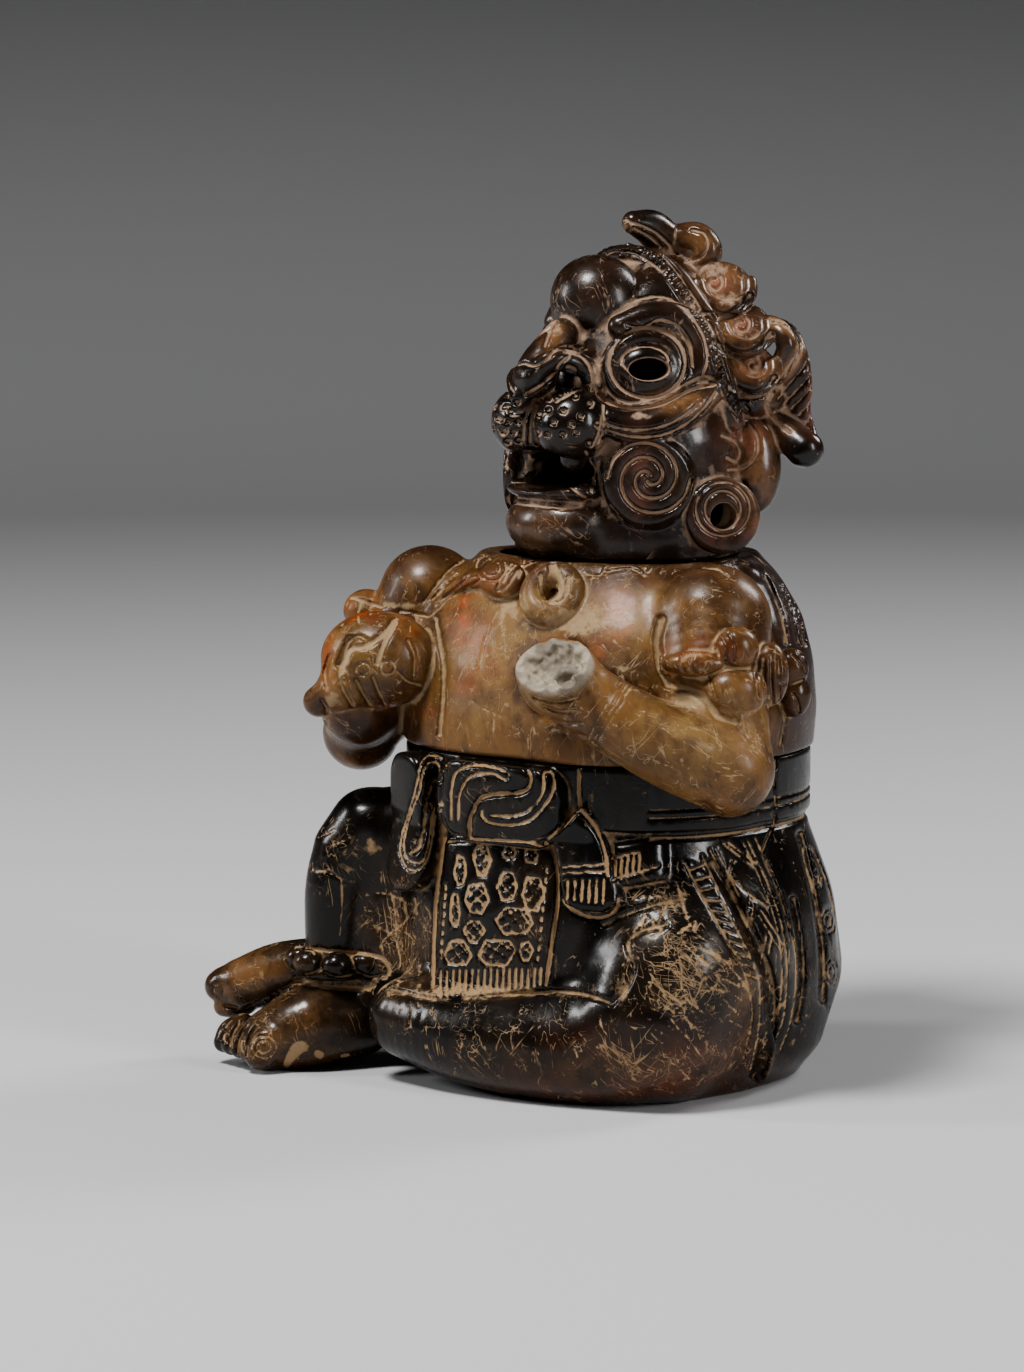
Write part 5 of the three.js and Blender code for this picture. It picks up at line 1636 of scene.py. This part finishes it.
def slip_colour(nodes, looks):
    """The slip's colour: mottled in several sizes, with its warm, red and dark places; the dark places
    hold painted shade as well as darker slip.
    """
    cloud = nodes.noise(11, 5.0, 0.6, distortion=0.7)
    mottle = nodes.noise(38, 8.0, 0.7, distortion=0.5)
    blotch = nodes.noise(95, 6.0, 0.65)
    streak = nodes.noise(12, 5.0, 0.65, (1, 6, 6), (0, 1.2, 0.68), 0.3)
    uneven = nodes.times(nodes.plus(mottle, streak), 0.5)
    colour = nodes.mix(nodes.ramp(uneven, 0.44, 0.57), looks["slip"], looks["other"])
    spread = nodes.times(nodes.ramp(cloud, 0.5, 0.66), looks["clouds"])
    warmth = nodes.plus(nodes.attribute("warm"), spread)
    warmth = nodes.times(warmth, nodes.blend(nodes.ramp(blotch, 0.36, 0.6), 0.3, 1.0), True)
    colour = nodes.mix(warmth, colour, looks["warm"])
    reddened = nodes.times(nodes.attribute("red"), nodes.ramp(nodes.noise(70, 5.0), 0.34, 0.6), True)
    colour = nodes.mix(reddened, colour, looks["red"])
    smoke_and_shade = nodes.ramp(nodes.noise(52, 7.0, 0.7, distortion=0.9), 0.52, 0.72)
    # The dark attribute, with its painted shade in gaps, pits and below parts, joins the smoke clouds
    # here
    smoke_and_shade = nodes.most(nodes.times(smoke_and_shade, looks["smoke_and_shade"]), nodes.attribute("dark"), True)
    return nodes.mix(smoke_and_shade, colour, looks["dark"])


def ragged(nodes, value, low, high, *edges):
    """A ramp whose border follows noises, each given with how much it moves the border."""
    for noise, share in edges:
        value = nodes.plus(value, nodes.times(nodes.minus(noise, 0.5), share))
    return nodes.ramp(value, low, high)


def clay_material(name, looks):
    """Burnished slip with its clay showing in the recesses, in worn lines and on bare patches."""
    nodes = Nodes(name)
    grain = nodes.noise(520, 4.0, 0.6)
    flecks = nodes.noise(240, 5.0, 0.7)
    uneven = nodes.noise(90, 5.0, 0.6)
    worn_here, bare = nodes.attribute("worn"), nodes.attribute("bare")
    amount = nodes.plus(nodes.times(worn_here, looks["scratched"]), looks["wear"])
    lines = nodes.times(scratches(nodes, amount), 0.85)
    chips = nodes.ramp(nodes.plus(flecks, nodes.times(amount, 0.4)), 0.665, 0.72)
    worn = nodes.most(lines, nodes.times(chips, 0.7))
    recess = ragged(nodes, nodes.attribute("recess"), 0.1, 0.32, (uneven, 0.5), (flecks, 0.4))
    filled = looks["filled"]
    bowl = ragged(nodes, nodes.attribute("bowl"), filled, filled + 0.25, (uneven, 0.5), (flecks, 0.8))
    settled = nodes.times(nodes.most(recess, bowl), looks["dust"])
    laid = ragged(nodes, nodes.attribute("pale"), 0.34, 0.62, (uneven, 0.7), (flecks, 1.1))
    pale = nodes.most(nodes.most(settled, laid), worn, True)
    clay = nodes.mix(grain, tuple(0.6 * value for value in looks["clay"]), looks["clay"])
    colour = nodes.mix(pale, slip_colour(nodes, looks), clay)
    shadowed = tuple(0.5 * value for value in BARE_CLAY)
    break_clay = nodes.mix(nodes.ramp(uneven, 0.35, 0.65), shadowed, BARE_CLAY)
    gloss = nodes.blend(nodes.ramp(uneven, 0.35, 0.7), looks["gloss"], looks["gloss"] + 0.14)
    rough = nodes.plus(gloss, nodes.times(worn_here, looks["matt"]))
    height = nodes.plus(nodes.times(grain, 0.2), nodes.times(uneven, 0.8))
    height = nodes.minus(height, nodes.times(worn, 0.5))
    height = nodes.plus(height, nodes.times(nodes.times(bare, flecks), 5.0))
    bump = nodes.add("ShaderNodeBump", {"Height": height, "Strength": 0.5, "Distance": 0.0005})
    looks_of = {
        "Base Color": nodes.mix(bare, colour, break_clay),
        "Roughness": nodes.blend(nodes.most(pale, bare), rough, PALE_ROUGHNESS),
        "Normal": bump.outputs[0],
        "Specular IOR Level": looks["shine"],
        "Coat Weight": looks["coat"],
        "Coat Roughness": COAT_ROUGHNESS,
    }
    for socket, value in looks_of.items():
        nodes.set(nodes.shader.inputs[socket], value)
    return nodes.material


def paper_material():
    """A pale floor, whose paper is painted darker where it rises to the wall, to near black: painted
    shade for an unlit wall.
    """
    nodes = Nodes("paper_with_painted_shade")
    place = nodes.add("ShaderNodeTexCoord").outputs["Object"]
    height = nodes.add("ShaderNodeSeparateXYZ", {"Vector": place}).outputs["Z"]
    colour = nodes.mix(nodes.ramp(height, 0.0, ROOM["fade"]), FLOOR_PAPER, WALL_PAINTED_SHADE)
    nodes.set(nodes.shader.inputs["Base Color"], colour)
    nodes.shader.inputs["Roughness"].default_value = 0.9
    return nodes.material


def dress(piece, node, material):
    piece.data.materials.clear()
    piece.data.materials.append(material)
    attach(piece, "root")
    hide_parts(node)


# The stage: a round room with a pale floor and a wall painted near black as painted shade, soft lights
# and the photograph's camera

ROOM = {"radius": 3.6, "bend": 1.2, "bend_steps": 16, "height": 3.4, "sides": 96, "fade": 0.9}
FLOOR_PAPER = (0.62, 0.62, 0.63)
# The wall's paper is painted near black: painted shade
WALL_PAINTED_SHADE = (0.025, 0.025, 0.026)
LIGHT_AIM = (0.0, 0.0, 0.18)
# Name, place and size in metres, and power
LIGHTS = [
    ("top", (-0.15, -1.0, 2.0), (0.5, 0.5), 40),
    ("left", (-1.5, -1.1, 0.9), (0.3, 0.6), 12),
    ("side", (1.8, 0.0, 0.8), (0.3, 0.9), 13),
    ("back", (0.5, 1.5, 1.3), (0.5, 0.8), 14),
]
SKY = {"Color": (0.5, 0.5, 0.52, 1), "Strength": 0.02}


def room_profile():
    """Radius and height of each ring of the room, from the floor up the wall."""
    floor, bend = ROOM["radius"] - ROOM["bend"], ROOM["bend"]
    turns = [k / ROOM["bend_steps"] * math.pi / 2 for k in range(ROOM["bend_steps"] + 1)]
    rows = [(floor + bend * math.sin(turn), bend * (1 - math.cos(turn))) for turn in turns]
    return [*rows, (ROOM["radius"], ROOM["height"])]


def make_room():
    """A floor that bends up into a round wall."""
    sides, profile = ROOM["sides"], room_profile()
    verts = [(0.0, 0.0, 0.0)]
    for radius, height in profile:
        for turn in [TURN * k / sides for k in range(sides)]:
            verts.append((radius * math.cos(turn), radius * math.sin(turn), height))
    faces = [(0, 1 + k, 1 + (k + 1) % sides) for k in range(sides)]
    for level in range(len(profile) - 1):
        for k in range(sides):
            a, b = 1 + level * sides + k, 1 + level * sides + (k + 1) % sides
            faces.append((a, a + sides, b + sides, b))
    mesh = bpy.data.meshes.new("room")
    mesh.from_pydata(verts, [], faces)
    mesh.polygons.foreach_set("use_smooth", np.ones(len(mesh.polygons), bool))
    room = bpy.data.objects.new("room", mesh)
    bpy.context.scene.collection.objects.link(room)
    mesh.materials.append(paper_material())


def place_at(thing, place, aim):
    """Links a light or camera at a place, turned to its aim."""
    thing.location = place
    thing.rotation_euler = (Vector(aim) - Vector(place)).to_track_quat("-Z", "Y").to_euler()
    bpy.context.scene.collection.objects.link(thing)


def make_light(name, place, size, power):
    lamp = bpy.data.lights.new(name, "AREA")
    lamp.shape = "RECTANGLE"
    lamp.size, lamp.size_y = size
    lamp.energy = power
    place_at(bpy.data.objects.new(name, lamp), place, LIGHT_AIM)


def make_camera():
    lens = bpy.data.cameras.new("camera")
    lens.lens = LENS
    lens.sensor_width = SENSOR
    camera = bpy.data.objects.new("camera", lens)
    place_at(camera, Vector(CAMERA_AT) * MM, Vector(CAMERA_AIM) * MM)
    bpy.context.scene.camera = camera


def set_stage():
    make_room()
    for light in LIGHTS:
        make_light(*light)
    world = bpy.data.worlds.new("world")
    world.use_nodes = True
    for socket, value in SKY.items():
        world.node_tree.nodes["Background"].inputs[socket].default_value = value
    bpy.context.scene.world = world
    bpy.context.scene.view_settings.look = "AgX - Medium High Contrast"
    make_camera()


BLACK_SLIP = clay_material("black_burnished_slip", {
    "slip": (0.006, 0.005, 0.0045), "other": (0.013, 0.009, 0.006), "warm": (0.2, 0.1, 0.04),
    "red": (0.12, 0.035, 0.016), "dark": (0.005, 0.004, 0.004), "clay": (0.5, 0.33, 0.18),
    "clouds": 0.1, "smoke_and_shade": 0.4, "gloss": 0.18, "coat": 0.15, "shine": 0.3, "matt": 0.08,
    "wear": 0.0, "scratched": 0.18, "dust": 0.75, "filled": 0.3,
})
BROWN_SLIP = clay_material("brown_burnished_slip", {
    "slip": (0.195, 0.092, 0.03), "other": (0.065, 0.027, 0.011), "warm": (0.28, 0.165, 0.056),
    "red": (0.42, 0.075, 0.012), "dark": (0.035, 0.016, 0.011), "clay": (0.5, 0.35, 0.2),
    "clouds": 0.6, "smoke_and_shade": 0.5, "gloss": 0.21, "coat": 0.08, "shine": 0.36, "matt": 0.35,
    "wear": 0.03, "scratched": 0.11, "dust": 0.85, "filled": 0.3,
})
UMBER_SLIP = clay_material("umber_burnished_slip", {
    "slip": (0.009, 0.006, 0.0045), "other": (0.026, 0.013, 0.008), "warm": (0.25, 0.125, 0.055),
    "red": (0.36, 0.14, 0.09), "dark": (0.007, 0.005, 0.004), "clay": (0.46, 0.31, 0.21),
    "clouds": 0.12, "smoke_and_shade": 0.4, "gloss": 0.19, "coat": 0.2, "shine": 0.4, "matt": 0.12,
    "wear": 0.0, "scratched": 0.12, "dust": 0.9, "filled": 0.12,
})

dress(make_lower_vessel(), "lower_vessel", BLACK_SLIP)
dress(make_torso(), "torso", BROWN_SLIP)
dress(make_head(), "head", UMBER_SLIP)
set_stage()
